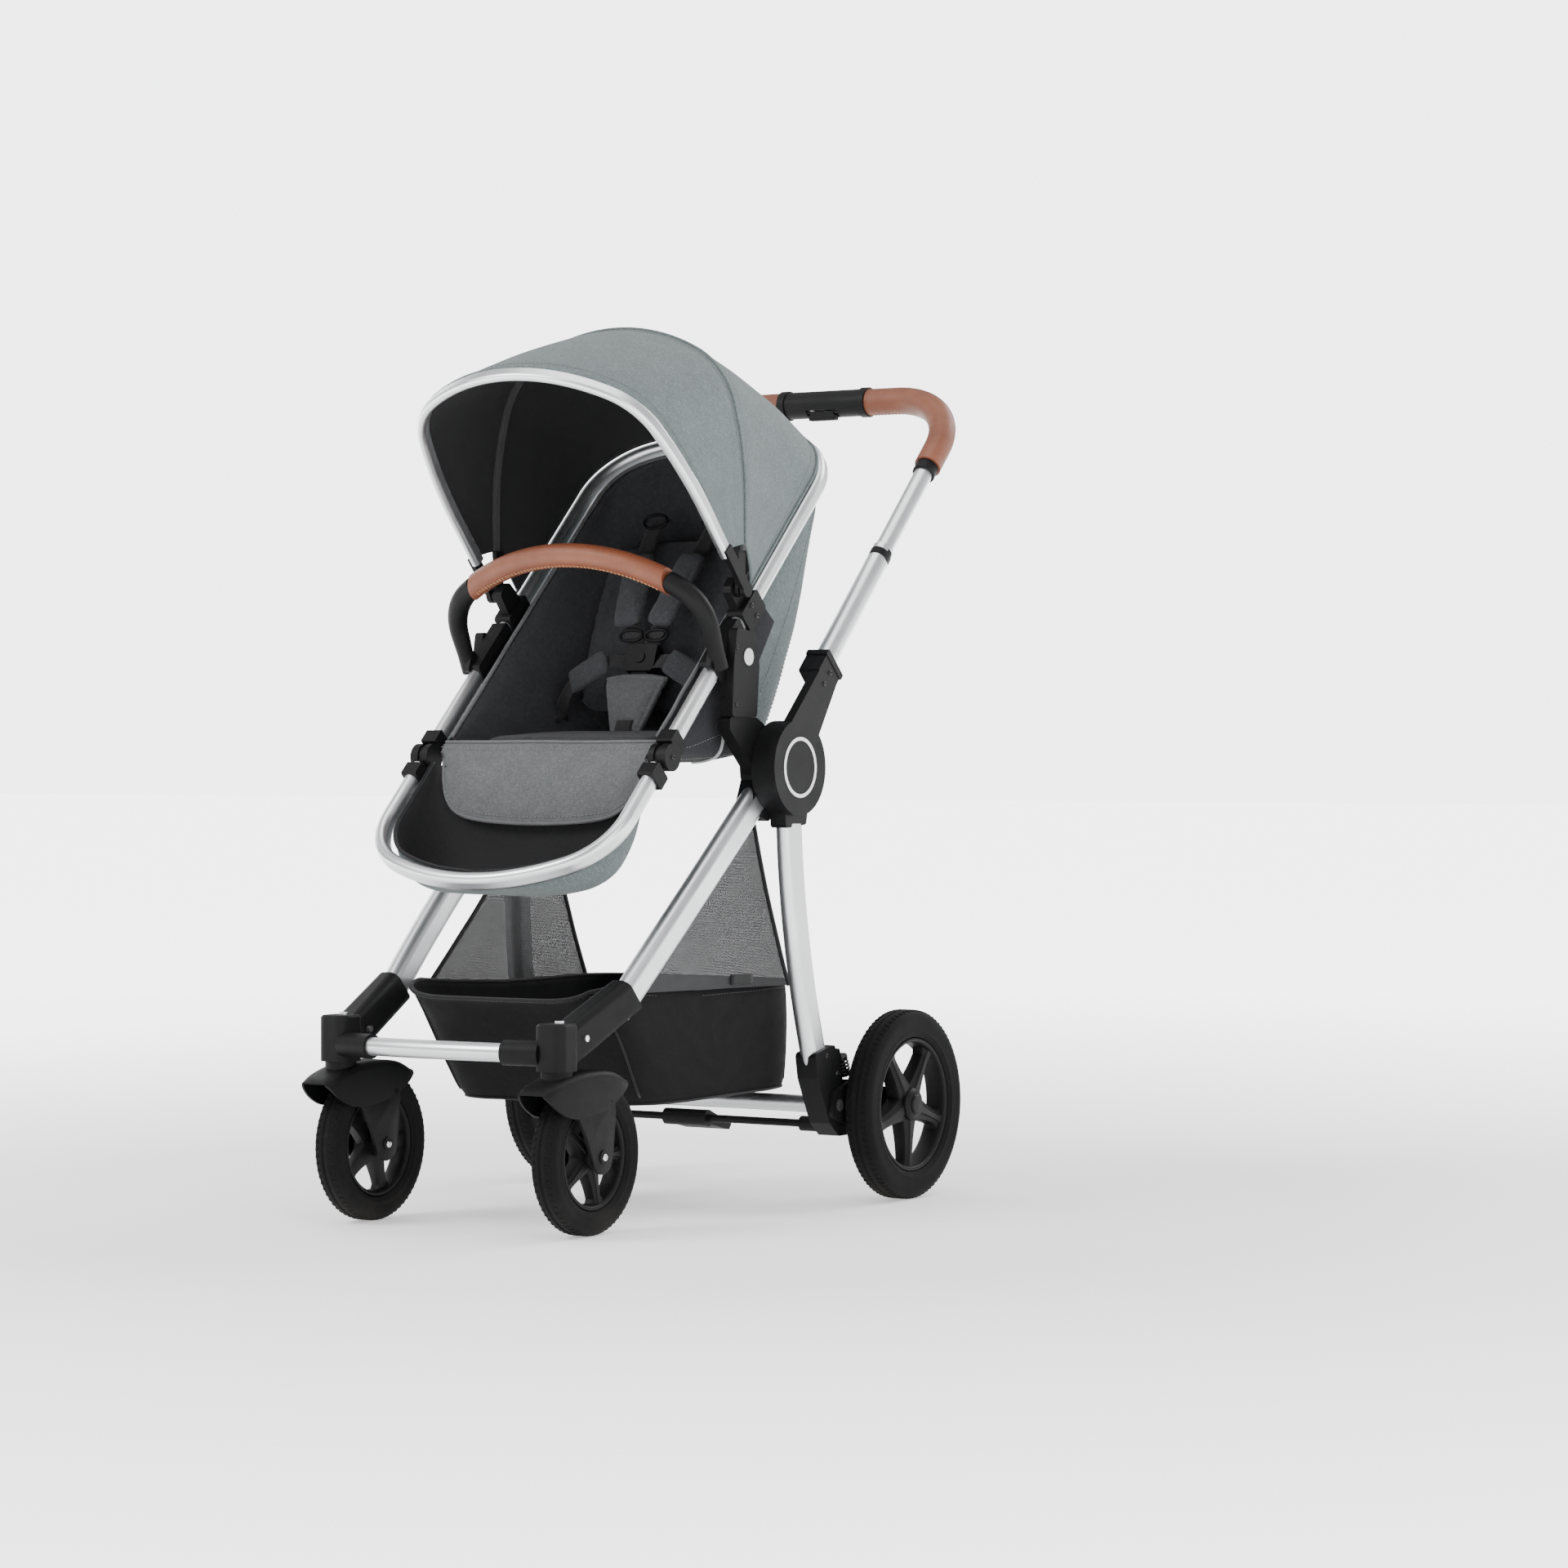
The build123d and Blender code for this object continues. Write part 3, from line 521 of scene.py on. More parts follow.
def weaveGroup():
    # plain weave with melange yarns: the colour, the thread relief and a roughness value
    group, given, made = newGroup(
        "melangeWeave",
        [("Map", "Vector", None), ("Threads", "Float", 1100.0), ("Yarn", "Color", None),
         ("Fleck", "Color", None), ("Fleck Amount", "Float", 0.5), ("Rough", "Float", 0.85)],
        [("Color", "Color"), ("Height", "Float"), ("Roughness", "Float")])
    split = nodeWith(group, "ShaderNodeSeparateXYZ", {0: given["Map"]})
    u = times(group, split.outputs[0], given["Threads"])
    v = times(group, split.outputs[1], given["Threads"])
    su = mathNode(group, "SINE", times(group, u, math.pi))
    sv = mathNode(group, "SINE", times(group, v, math.pi))
    over = mathNode(group, "GREATER_THAN", times(group, su, sv), 0.0)
    warp = mathNode(group, "ABSOLUTE", su)
    weft = mathNode(group, "ABSOLUTE", sv)
    relief = plus(group, times(group, warp, over),
                      times(group, weft, mathNode(group, "SUBTRACT", 1.0, over)))
    acrossYarn = noiseNode(group, stretch(group, given["Map"], (120, 900, 1)), 1.0, 2.0)
    alongYarn = noiseNode(group, stretch(group, given["Map"], (900, 120, 1)), 1.0, 2.0)
    slub = noiseNode(group, given["Map"], 28.0, 3.0)
    fleck = mathNode(group, "MAXIMUM", remap(group, acrossYarn, 0.5, 0.68),
        remap(group, alongYarn, 0.5, 0.68))
    fleck = times(group, fleck, given["Fleck Amount"])
    colour = mixColour(group, fleck, given["Yarn"], given["Fleck"])
    shade = remap(group, slub, 0.3, 0.7, 0.9, 1.08)
    shade = times(group, shade, remap(group, relief, 0.0, 1.0, 0.86, 1.04))
    tint = group.nodes.new("ShaderNodeCombineColor")
    for socket in list(tint.inputs)[:3]:
        wire(group, shade, socket)
    wire(group, mixColour(group, 1.0, colour, tint.outputs[0], "MULTIPLY"), made["Color"])
    wire(group, relief, made["Height"])
    wire(group, plus(group, given["Rough"], remap(group, slub, 0.3, 0.7, -0.05, 0.05)), made["Roughness"])
    return group


def wearGroup():
    # handling marks: a fine texture, faint smears, and dust that gathers near the floor
    group, given, made = newGroup(
        "handlingWear",
        [("Place", "Vector", None), ("Base", "Color", None), ("Worn", "Color", None),
         ("Grain", "Float", 900.0), ("Wear", "Float", 0.2), ("Rough", "Float", 0.5),
         ("Dust Height", "Float", 0.02), ("Dust", "Float", 0.0)],
        [("Color", "Color"), ("Height", "Float"), ("Roughness", "Float")])
    place = given["Place"]
    fine = nodeWith(group, "ShaderNodeTexNoise", {"Detail": 2.0, "Vector": place, "Scale": given["Grain"]})
    smear = noiseNode(group, place, 9.0, 5.0, 0.65)
    scuff = noiseNode(group, stretch(group, place, (40, 220, 60)), 1.0, 4.0, 0.7)
    marks = times(group, remap(group, scuff, 0.6, 0.72), given["Wear"])
    colour = mixColour(group, marks, given["Base"], given["Worn"])
    split = nodeWith(group, "ShaderNodeSeparateXYZ", {0: place})
    low = mathNode(group, "SUBTRACT", 1.0, mathNode(group, "DIVIDE", split.outputs[2],
        given["Dust Height"]), clamp=True)
    dust = times(group, times(group, low, remap(group, smear, 0.35, 0.7)), given["Dust"])
    colour = mixColour(group, dust, colour, (0.32, 0.29, 0.25))
    wire(group, colour, made["Color"])
    wire(group, plus(group, fine.outputs["Fac"], times(group, marks, -1.5)), made["Height"])
    rough = plus(group, given["Rough"], remap(group, smear, 0.3, 0.7, -0.06, 0.08))
    wire(group, plus(group, rough, times(group, marks, 0.15)), made["Roughness"])
    return group


def hideGroup():
    # leather: pebbled cells, creases and a mottled dye
    group, given, made = newGroup(
        "hideGrain",
        [("Place", "Vector", None), ("Dye", "Color", None), ("Shade", "Color", None),
        ("Pebbles", "Float", 650.0)],
        [("Color", "Color"), ("Height", "Float"), ("Roughness", "Float")])
    cells = group.nodes.new("ShaderNodeTexVoronoi")
    cells.feature = "DISTANCE_TO_EDGE"
    wire(group, given["Place"], cells.inputs["Vector"])
    wire(group, given["Pebbles"], cells.inputs["Scale"])
    crease = remap(group, cells.outputs["Distance"], 0.0, 0.16)
    mottle = noiseNode(group, given["Place"], 22.0, 5.0, 0.6)
    fine = noiseNode(group, given["Place"], 260.0, 3.0)
    colour = mixColour(group, remap(group, mottle, 0.35, 0.68), given["Dye"], given["Shade"])
    colour = mixColour(group, times(group, mathNode(group, "SUBTRACT", 1.0, crease), 0.35), colour,
        (0.05, 0.016, 0.008))
    wire(group, colour, made["Color"])
    wire(group, plus(group, crease, times(group, fine, 0.5)), made["Height"])
    wire(group, remap(group, mottle, 0.3, 0.7, 0.4, 0.56), made["Roughness"])
    return group


weaveTree = weaveGroup()
wearTree = wearGroup()
hideTree = hideGroup()


def newMaterial(name, view):
    material = bpy.data.materials.new(name)
    material.use_nodes = True
    material.diffuse_color = tuple(view) + (1,)
    tree = material.node_tree
    shader = next(n for n in tree.nodes if n.type == "BSDF_PRINCIPLED")
    return material, tree, shader


def placed(tree, which):
    node = tree.nodes.new("ShaderNodeTexCoord")
    return node.outputs[which]


def bumpOn(tree, shader, height, strength, distance):
    bump = nodeWith(tree, "ShaderNodeBump", {"Strength": strength, "Distance": distance, "Height": height})
    wire(tree, bump.outputs[0], shader.inputs["Normal"])


def useGroup(tree, group, values):
    node = tree.nodes.new("ShaderNodeGroup")
    node.node_tree = group
    for label, value in values.items():
        if isinstance(value, (int, float)):
            node.inputs[label].default_value = value
        elif isinstance(value, (tuple, list)):
            node.inputs[label].default_value = tuple(value) + (1.0,)
        else:
            wire(tree, value, node.inputs[label])
    return node


def clothMaterial(name, yarn, fleck, amount=0.5, threads=1100.0, rough=0.85, sheen=0.25, relief=0.35,
    where="UV"):
    material, tree, shader = newMaterial(name, yarn)
    node = useGroup(tree, weaveTree, {"Map": placed(tree, where), "Threads": threads, "Yarn": yarn,
        "Fleck": fleck, "Fleck Amount": amount, "Rough": rough})
    wire(tree, node.outputs["Color"], shader.inputs["Base Color"])
    wire(tree, node.outputs["Roughness"], shader.inputs["Roughness"])
    shader.inputs["Sheen Weight"].default_value = sheen
    shader.inputs["Sheen Roughness"].default_value = 0.5
    shader.inputs["Specular IOR Level"].default_value = 0.2
    bumpOn(tree, shader, node.outputs["Height"], relief, 0.0004)
    return material


def hardMaterial(name, base, worn, grain=900.0, wear=0.2, rough=0.5, relief=0.15, metal=0.0,
    dustHeight=0.02, dust=0.0, specular=0.5, coat=0.0):
    material, tree, shader = newMaterial(name, base)
    node = useGroup(tree, wearTree, {"Place": placed(tree, "Object"), "Base": base, "Worn": worn,
        "Grain": grain, "Wear": wear, "Rough": rough, "Dust Height": dustHeight, "Dust": dust})
    wire(tree, node.outputs["Color"], shader.inputs["Base Color"])
    wire(tree, node.outputs["Roughness"], shader.inputs["Roughness"])
    shader.inputs["Metallic"].default_value = metal
    shader.inputs["Specular IOR Level"].default_value = specular
    shader.inputs["Coat Weight"].default_value = coat
    bumpOn(tree, shader, node.outputs["Height"], relief, 0.0003)
    return material


def leatherMaterial(name, dye, shade, pebbles=650.0):
    material, tree, shader = newMaterial(name, dye)
    node = useGroup(tree, hideTree, {"Place": placed(tree, "Object"), "Dye": dye, "Shade": shade,
        "Pebbles": pebbles})
    wire(tree, node.outputs["Color"], shader.inputs["Base Color"])
    wire(tree, node.outputs["Roughness"], shader.inputs["Roughness"])
    shader.inputs["Specular IOR Level"].default_value = 0.45
    bumpOn(tree, shader, node.outputs["Height"], 0.25, 0.0004)
    return material


def meshMaterial(name, yarn, holes=560.0, cover=0.965):
    # open knitted mesh: the holes are real gaps in the cloth, seen through the alpha
    material, tree, shader = newMaterial(name, yarn)
    split = nodeWith(tree, "ShaderNodeSeparateXYZ", {0: placed(tree, "UV")})
    u = times(tree, split.outputs[0], holes * math.pi)
    v = times(tree, split.outputs[1], holes * math.pi)
    one = mathNode(tree, "ABSOLUTE", mathNode(tree, "SINE", plus(tree, u, times(tree, v, 0.58))))
    two = mathNode(tree, "ABSOLUTE", mathNode(tree, "SINE",
        mathNode(tree, "SUBTRACT", u, times(tree, v, 0.58))))
    hole = times(tree, one, two)
    alpha = mathNode(tree, "LESS_THAN", hole, cover)
    shade = noiseNode(tree, placed(tree, "UV"), 30.0, 3.0)
    colour = mixColour(tree, remap(tree, shade, 0.3, 0.7), tuple(c * 0.8 for c in yarn), yarn)
    wire(tree, colour, shader.inputs["Base Color"])
    wire(tree, alpha, shader.inputs["Alpha"])
    shader.inputs["Roughness"].default_value = 0.8
    bumpOn(tree, shader, hole, 0.3, 0.0003)
    return material


finishes = {
    "shellYarn": (0.090, 0.111, 0.114), "shellFleck": (0.205, 0.232, 0.232),
    "linerYarn": (0.030, 0.031, 0.035), "linerFleck": (0.07, 0.071, 0.076),
    "calfYarn": (0.082, 0.086, 0.088), "calfFleck": (0.17, 0.175, 0.175),
    "padYarn": (0.07, 0.072, 0.074), "padFleck": (0.14, 0.142, 0.145),
    "liningYarn": (0.012, 0.012, 0.013), "liningFleck": (0.022, 0.022, 0.024),
    "basketYarn": (0.004, 0.004, 0.0046), "basketFleck": (0.009, 0.009, 0.01),
    "meshYarn": (0.030, 0.031, 0.033),
    "tanDye": (0.205, 0.062, 0.027), "tanShade": (0.15, 0.042, 0.018),
    "tubeMetal": (0.72, 0.73, 0.745), "tubeWorn": (0.6, 0.6, 0.61),
    "mouldBlack": (0.0042, 0.0042, 0.0047), "mouldWorn": (0.014, 0.014, 0.015),
    "tyreBlack": (0.0048, 0.0048, 0.0052), "tyreWorn": (0.015, 0.0145, 0.014),
    # the side panel cloth: a dark cloth, made darker still as painted shade
    "sidePanelClothYarn": (0.016, 0.016, 0.020), "sidePanelClothFleck": (0.04, 0.04, 0.046),
    "blackWebbingYarn": (0.012, 0.012, 0.013), "blackWebbingFleck": (0.03, 0.03, 0.032),
    "lightPipingYarn": (0.42, 0.43, 0.43), "lightPipingFleck": (0.55, 0.56, 0.56),
    "edgePipingYarn": (0.09, 0.092, 0.095), "edgePipingFleck": (0.14, 0.142, 0.145),
    "blackBindingYarn": (0.01, 0.01, 0.011), "blackBindingFleck": (0.025, 0.025, 0.026),
    "rimBlackBase": (0.004, 0.004, 0.0045), "rimBlackWorn": (0.014, 0.014, 0.014),
    "rivetSteelBase": (0.74, 0.74, 0.75), "rivetSteelWorn": (0.5, 0.5, 0.5),
    "ringWhiteBase": (0.8, 0.8, 0.79), "ringWhiteWorn": (0.6, 0.6, 0.58),
    "springBlackBase": (0.02, 0.02, 0.021), "springBlackWorn": (0.15, 0.14, 0.13),
    "tanThreadYarn": (0.46, 0.24, 0.12), "tanThreadFleck": (0.6, 0.36, 0.2),
    "greyThreadYarn": (0.17, 0.18, 0.18), "greyThreadFleck": (0.28, 0.29, 0.29),
    "darkThreadYarn": (0.03, 0.03, 0.032), "darkThreadFleck": (0.07, 0.07, 0.072),
    "ribSleeveYarn": (0.03, 0.03, 0.031), "ribSleeveFleck": (0.05, 0.05, 0.052),
    "blackScrewBase": (0.03, 0.03, 0.031), "blackScrewWorn": (0.2, 0.2, 0.2),
}
shellCloth = clothMaterial("shellMelange", finishes["shellYarn"], finishes["shellFleck"], 0.6, 1200.0, 0.88,
    0.12)
linerCloth = clothMaterial("linerCharcoal", finishes["linerYarn"], finishes["linerFleck"], 0.45, 1300.0,
    0.9, 0.08)
calfCloth = clothMaterial("calfMelange", finishes["calfYarn"], finishes["calfFleck"], 0.5, 1150.0, 0.9, 0.1)
padCloth = clothMaterial("harnessPadCloth", finishes["padYarn"], finishes["padFleck"], 0.5, 1400.0, 0.9,
    0.1)
# dark cloth for the front of the seat's sides, darkened further as painted shade for the shadow that falls there
sideClothPaintedShade = clothMaterial("sidePanelCloth", finishes["sidePanelClothYarn"], finishes["sidePanelClothFleck"],
    0.4, 1300.0, 0.9, 0.05)
liningCloth = clothMaterial("blackLining", finishes["liningYarn"], finishes["liningFleck"], 0.4, 1700.0,
    0.8, 0.05)
basketCloth = clothMaterial("basketCanvas", finishes["basketYarn"], finishes["basketFleck"], 0.35, 800.0,
    0.85, 0.0)
meshCloth = meshMaterial("sideMesh", finishes["meshYarn"])
webbingCloth = clothMaterial("blackWebbing", finishes["blackWebbingYarn"], finishes["blackWebbingFleck"],
    0.4, 620.0, 0.7, 0.1, 0.6)
pipingCloth = clothMaterial("lightPiping", finishes["lightPipingYarn"], finishes["lightPipingFleck"], 0.4,
    1500.0, 0.8, 0.2)
darkPiping = clothMaterial("edgePiping", finishes["edgePipingYarn"], finishes["edgePipingFleck"], 0.4,
    1500.0, 0.8, 0.2)
bindingCloth = clothMaterial("blackBinding", finishes["blackBindingYarn"], finishes["blackBindingFleck"],
    0.4, 900.0, 0.75, 0.1, 0.5)
leather = leatherMaterial("tanHide", finishes["tanDye"], finishes["tanShade"])
tubeMetal = hardMaterial("satinTube", finishes["tubeMetal"], finishes["tubeWorn"], 1400.0, 0.05, 0.36,
    0.015, metal=1.0, dustHeight=0.12, dust=0.05)
mouldedBlack = hardMaterial("mouldedBlack", finishes["mouldBlack"], finishes["mouldWorn"], 1500.0, 0.3,
    0.52, 0.25, dustHeight=0.16, dust=0.05, specular=0.16)
rimBlack = hardMaterial("rimBlack", finishes["rimBlackBase"], finishes["rimBlackWorn"], 1300.0, 0.35, 0.48,
    0.2, dustHeight=0.2, dust=0.05, specular=0.16)
tyreBlack = hardMaterial("tyreBlack", finishes["tyreBlack"], finishes["tyreWorn"], 700.0, 0.5, 0.78, 0.4,
    dustHeight=0.07, dust=0.08, specular=0.14)
rivetSteel = hardMaterial("rivetSteel", finishes["rivetSteelBase"], finishes["rivetSteelWorn"], 900.0, 0.2,
    0.28, 0.08, metal=1.0)
ringWhite = hardMaterial("ringWhite", finishes["ringWhiteBase"], finishes["ringWhiteWorn"], 1100.0, 0.15,
    0.35, 0.06)
springBlack = hardMaterial("springBlack", finishes["springBlackBase"], finishes["springBlackWorn"], 900.0,
    0.35, 0.38, 0.1, metal=0.6)
tanThread = clothMaterial("tanThread", finishes["tanThreadYarn"], finishes["tanThreadFleck"], 0.4, 2500.0,
    0.7, 0.2)
greyThread = clothMaterial("greyThread", finishes["greyThreadYarn"], finishes["greyThreadFleck"], 0.4,
    2500.0, 0.7, 0.2)
darkThread = clothMaterial("darkThread", finishes["darkThreadYarn"], finishes["darkThreadFleck"], 0.4,
    2500.0, 0.7, 0.2)

nodeFinish = {
    tubeMetal: ["front_leg_left", "front_leg_right", "front_crossbar", "rear_leg_left",
        "rear_leg_right", "rear_axle", "handle_tubes", "handle_bar", "seat_hoop", "foot_hoop",
        "front_hoop"],
    mouldedBlack: ["pivot_core_left", "pivot_core_right", "front_hub_left", "front_hub_right",
        "seat_adaptors", "rear_joints", "rear_brackets", "rear_arm_left", "rear_arm_right",
        "brake_pedal", "handle_disc_left", "handle_disc_right", "handle_clamps", "grip_collars",
        "handle_centre", "fold_lever", "front_fork_left", "front_fork_right", "hoop_fittings",
        "buckle", "foot_knees", "mid_rib_ends", "front_hoop_ends", "bumper_arms", "buckle_button"],
    rivetSteel: ["frame_pins", "seat_button_left", "seat_button_right"],
    ringWhite: ["disc_rings"],
    liningCloth: ["mid_rib"],
    leather: ["handle_grip_left", "handle_grip_right", "bumper_bar"],
    rimBlack: [],
    tyreBlack: [],
    springBlack: [],
}
liningOnRib = clothMaterial("ribSleeve", finishes["ribSleeveYarn"], finishes["ribSleeveFleck"], 0.4, 1700.0,
    0.8, 0.15, where="Object")
nodeFinish[liningOnRib] = nodeFinish.pop(liningCloth)
for finish, nodes in nodeFinish.items():
    for node in nodes:
        part = frame["nodes"][node]
        part.data.materials.clear()
        part.data.materials.append(finish)
print("finishes on the frame")


# camera, light and floor
viewSet = {"spot": (3.1102, -4.5905 + 0.00594, 0.590), "tilt": 90 - 0.437, "turn": 32.237, "lens": 96.87}
camera = bpy.data.objects.new("viewCamera", bpy.data.cameras.new("viewCamera"))
scene.collection.objects.link(camera)
camera.location = viewSet["spot"]
camera.rotation_euler = (math.radians(viewSet["tilt"]), 0, math.radians(viewSet["turn"]))
camera.data.lens = viewSet["lens"]
camera.data.sensor_width = 36
camera.data.clip_end = 60
scene.camera = camera

lightSet = {
    "key": ((-2.2, -3.4, 3.6), (0.0, 0.0, 0.6), 2.0, 165.0),
    "fill": ((3.8, -2.2, 2.2), (0.0, 0.0, 0.55), 3.0, 80.0),
    "rim": ((1.2, 3.6, 3.0), (0.0, 0.0, 0.7), 2.4, 110.0),
    "side": ((-3.6, 1.4, 1.8), (0.0, 0.0, 0.5), 2.4, 60.0),
    "top": ((0.1, -0.4, 4.4), (0.0, 0.0, 0.5), 3.4, 90.0),
}


def softLight(name, spot, target, size, power):
    lamp = bpy.data.lights.new(name, "AREA")
    lamp.shape = "SQUARE"
    lamp.size = size
    lamp.energy = power
    holder = bpy.data.objects.new(name, lamp)
    holder.location = spot
    holder.rotation_euler = (Vector(target) - Vector(spot)).to_track_quat("-Z", "Y").to_euler()
    scene.collection.objects.link(holder)


for name, values in lightSet.items():
    softLight(name + "Light", *values)
world = bpy.data.worlds.new("paleRoom")
world.use_nodes = True
room = world.node_tree
backdrop = room.nodes["Background"]
backdrop.inputs["Color"].default_value = (0.97, 0.975, 0.98, 1)
seen = room.nodes.new("ShaderNodeLightPath")
# bright behind, softer as light
wire(room, remap(room, seen.outputs["Is Camera Ray"], 0.0, 1.0, 0.62, 4.5), backdrop.inputs["Strength"])
scene.world = world

floorKit = newKit()
addFace(floorKit, [addPoints(floorKit, [(x, y, 0)])
    for x, y in ((-40, -40), (40, -40), (40, 40), (-40, 40))])
paleFloor, floorTree, floorShader = newMaterial("paleFloor", (0.8, 0.8, 0.8))
cloudy = noiseNode(floorTree, placed(floorTree, "Object"), 1.4, 4.0)
wire(floorTree, mixColour(floorTree, remap(floorTree, cloudy, 0.3, 0.7), (0.9, 0.9, 0.9),
    (0.92, 0.92, 0.92)), floorShader.inputs["Base Color"])
# the floor brightens with distance, so it runs into the backdrop without an edge
floorShader.inputs["Emission Color"].default_value = (1, 1, 1, 1)
distance = floorTree.nodes.new("ShaderNodeVectorMath")
distance.operation = "LENGTH"
wire(floorTree, placed(floorTree, "Object"), distance.inputs[0])
wire(floorTree, remap(floorTree, distance.outputs["Value"], 0.9, 5.0, 0.5, 4.2),
    floorShader.inputs["Emission Strength"])
floorShader.inputs["Roughness"].default_value = 0.7
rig.stage(pieceFrom(floorKit, "floor", [paleFloor], fixNormals=False))
print("camera, lights and floor")


# the frame's own lines, in side view
pivotZ = 570
seatAngle = math.radians(44.5)
knee = (-231, 583)
canopyPin = (-66, 797)
handleAngle = math.radians(45.3)
handleOffset = 34.5


def onSeat(x, s, below=0.0):
    # s runs up the seat tube from the knee, below is square to it
    y = knee[0] + s * math.cos(seatAngle) + below * math.sin(seatAngle)
    z = knee[1] + s * math.sin(seatAngle) - below * math.cos(seatAngle)
    return at(x, y, z)


def onHandle(x, distance, up=0.0):
    sine, cosine = math.sin(handleAngle), math.cos(handleAngle)
    y = -handleOffset * sine + distance * cosine - up * sine
    z = pivotZ + handleOffset * math.cos(handleAngle) + distance * math.sin(handleAngle) + up * math.cos(
        handleAngle)
    return at(x, y, z)


def archPoints(half, start, spring, bends, grow=0.0, count=121):
    # a symmetric arch as (x, height) pairs, evenly spaced: straight sides, bends, then the crown
    half += grow
    spots = [(half, start), (half, spring)]
    x, s, turned = half, spring, 0.0
    for radius, turn in bends:
        radius += grow
        cx = x - radius * math.cos(math.radians(turned))
        cs = s - radius * math.sin(math.radians(turned))
        for k in range(1, 25):
            a = math.radians(turned + turn * k / 24)
            spots.append((cx + radius * math.cos(a), cs + radius * math.sin(a)))
        turned += turn
        x, s = spots[-1]
    crown = x / math.cos(math.radians(turned))
    centre = s - crown * math.sin(math.radians(turned))
    for k in range(1, 25):
        a = math.radians(turned + (90 - turned) * k / 24)
        spots.append((crown * math.cos(a), centre + crown * math.sin(a)))
    spots += [(-x, s) for x, s in reversed(spots[:-1])]
    line = np.array(spots)
    far = np.concatenate([[0], np.cumsum(np.linalg.norm(np.diff(line, axis=0), axis=1))])
    even = np.linspace(0, far[-1], count)
    return np.stack([np.interp(even, far, line[:, 0]), np.interp(even, far, line[:, 1])], axis=1)


# canopy
canopySet = {
    "frontAngle": 132.0, "midAngle": 90.0, "frontGap": 1.7, "over": 5.0, "thick": 2.2, "across": 121,
    "belly": (0.3, 0.22), "foldSize": 0.0011, "foldReach": 0.085, "frontHigh": 26, "rearHigh": 30,
    "seamDeep": 0.0014,
}
frontArch = archPoints(195, 64, 125, ((600, 13), (95, 47)), 3.5, canopySet["across"])
midArch = archPoints(194, 58, 116, ((450, 16), (110, 46)), canopySet["over"], canopySet["across"])
hoopArch = archPoints(183, 296, 500, ((100, 69.5),), 2.0, canopySet["across"])


def fromPin(x, distance, angle):
    return at(x, canopyPin[0] + distance * math.cos(angle), canopyPin[1] + distance * math.sin(angle))


frontPolar = [(x, d, math.radians(canopySet["frontAngle"] - canopySet["frontGap"])) for x, d in frontArch]
midPolar = [(x, d, math.radians(canopySet["midAngle"])) for x, d in midArch]
rearPolar = []
for x, s in hoopArch:
    spot = onSeat(x, s, -16.8)
    dy = spot.y * 1000 - setback - canopyPin[0]
    dz = spot.z * 1000 - canopyPin[1]
    rearPolar.append((x, math.hypot(dy, dz), math.atan2(dz, dy)))


def canopyRow(part):
    # part runs 0 at the seat hoop, 1 at the middle rib and 2 at the front hoop
    row = []
    for j in range(canopySet["across"]):
        a, b, c = rearPolar[j], midPolar[j], frontPolar[j]
        low, high = (a, b) if part <= 1 else (b, c)
        t = part if part <= 1 else part - 1
        # taut cloth runs almost straight between two hoops, with a little of the round form
        chord = fromPin(*low).lerp(fromPin(*high), t)
        round = fromPin(*[low[k] * (1 - t) + high[k] * t for k in (0, 1, 2)])
        belly = canopySet["belly"][0 if part <= 1 else 1]
        row.append(tuple(chord.lerp(round, belly)))
    return row


def canopyPanel(first, last, count):
    rows = np.array([canopyRow(first + (last - first) * k / (count - 1)) for k in range(count)])
    keep = np.ones(rows.shape[:2])
    fade = np.clip(np.minimum(np.arange(count), np.arange(count)[::-1]) / 5.0, 0, 1)
    keep *= fade[:, None]
    rows = wrinkled(rows, canopySet["foldSize"], canopySet["foldReach"], first + 0.3, keep)
    # the cloth pulls in at the seam beside each rib
    normals = surfaceNormals(rows)
    outward = np.sign(np.sum(normals * (rows - np.array(tuple(at(0, -30, 850)))), axis=2, keepdims=True))
    pull = np.exp(-((np.arange(count) - 1.0) / 0.8) ** 2) + np.exp(
        -((np.arange(count)[::-1] - 1.0) / 0.8) ** 2)
    rows = rows - normals * outward * pull[:, None, None] * canopySet["seamDeep"]
    return rows


def facesOut(rows, centre):
    normals = surfaceNormals(rows)
    return 1 if np.sum(normals * (np.asarray(rows) - np.array(tuple(centre)))) > 0 else -1


canopyPieces = {}
for name, first, last, count, node in (("canopyRearPanel", 0.0, 1.0, canopySet["rearHigh"], "canopy_rear"),
    ("canopyFrontPanel", 1.0, 2.0, canopySet["frontHigh"], "canopy_front")):
    rows = canopyPanel(first, last, count)
    kit = newKit()
    addCloth(kit, rows, canopySet["thick"] * 0.001, 0, 1, side=facesOut(rows, at(0, -30, 850)))
    piece = pieceFrom(kit, name, [shellCloth, liningCloth])
    flat, area = cutSize(rows)
    canopyPieces[name] = (piece, flat, area, node, rows)


def hemTube(name, line, radius, material, closed=False, flat=1.0):
    kit = newKit()
    addTube(kit, line, radius, closed=closed, flat=flat)
    return pieceFrom(kit, name, [material])


# welt over the middle rib, hems along the lower edges
midSeam = np.array(canopyRow(1.0))
midWelt = hemTube("canopyMidWelt", midSeam, 0.0021, shellCloth)
frontEdge = np.array(canopyRow(2.0))
frontHem = hemTube("canopyFrontHem", frontEdge, 0.0024, shellCloth)
rearEdge = np.array(canopyRow(0.0))
rearHem = hemTube("canopyRearHem", rearEdge, 0.0022, shellCloth)
print("canopy")


# seat: fabric shell and liner
seatSet = {
    "half": 169.0, "spring": 500.0, "corner": (86.0, 69.5), "across": 61, "stations": 66,
    "square": 8.0, "thick": 2.4, "linerGap": 9.0, "linerThick": 3.0, "sag": 5.0, "foldSize": 0.0012,
}
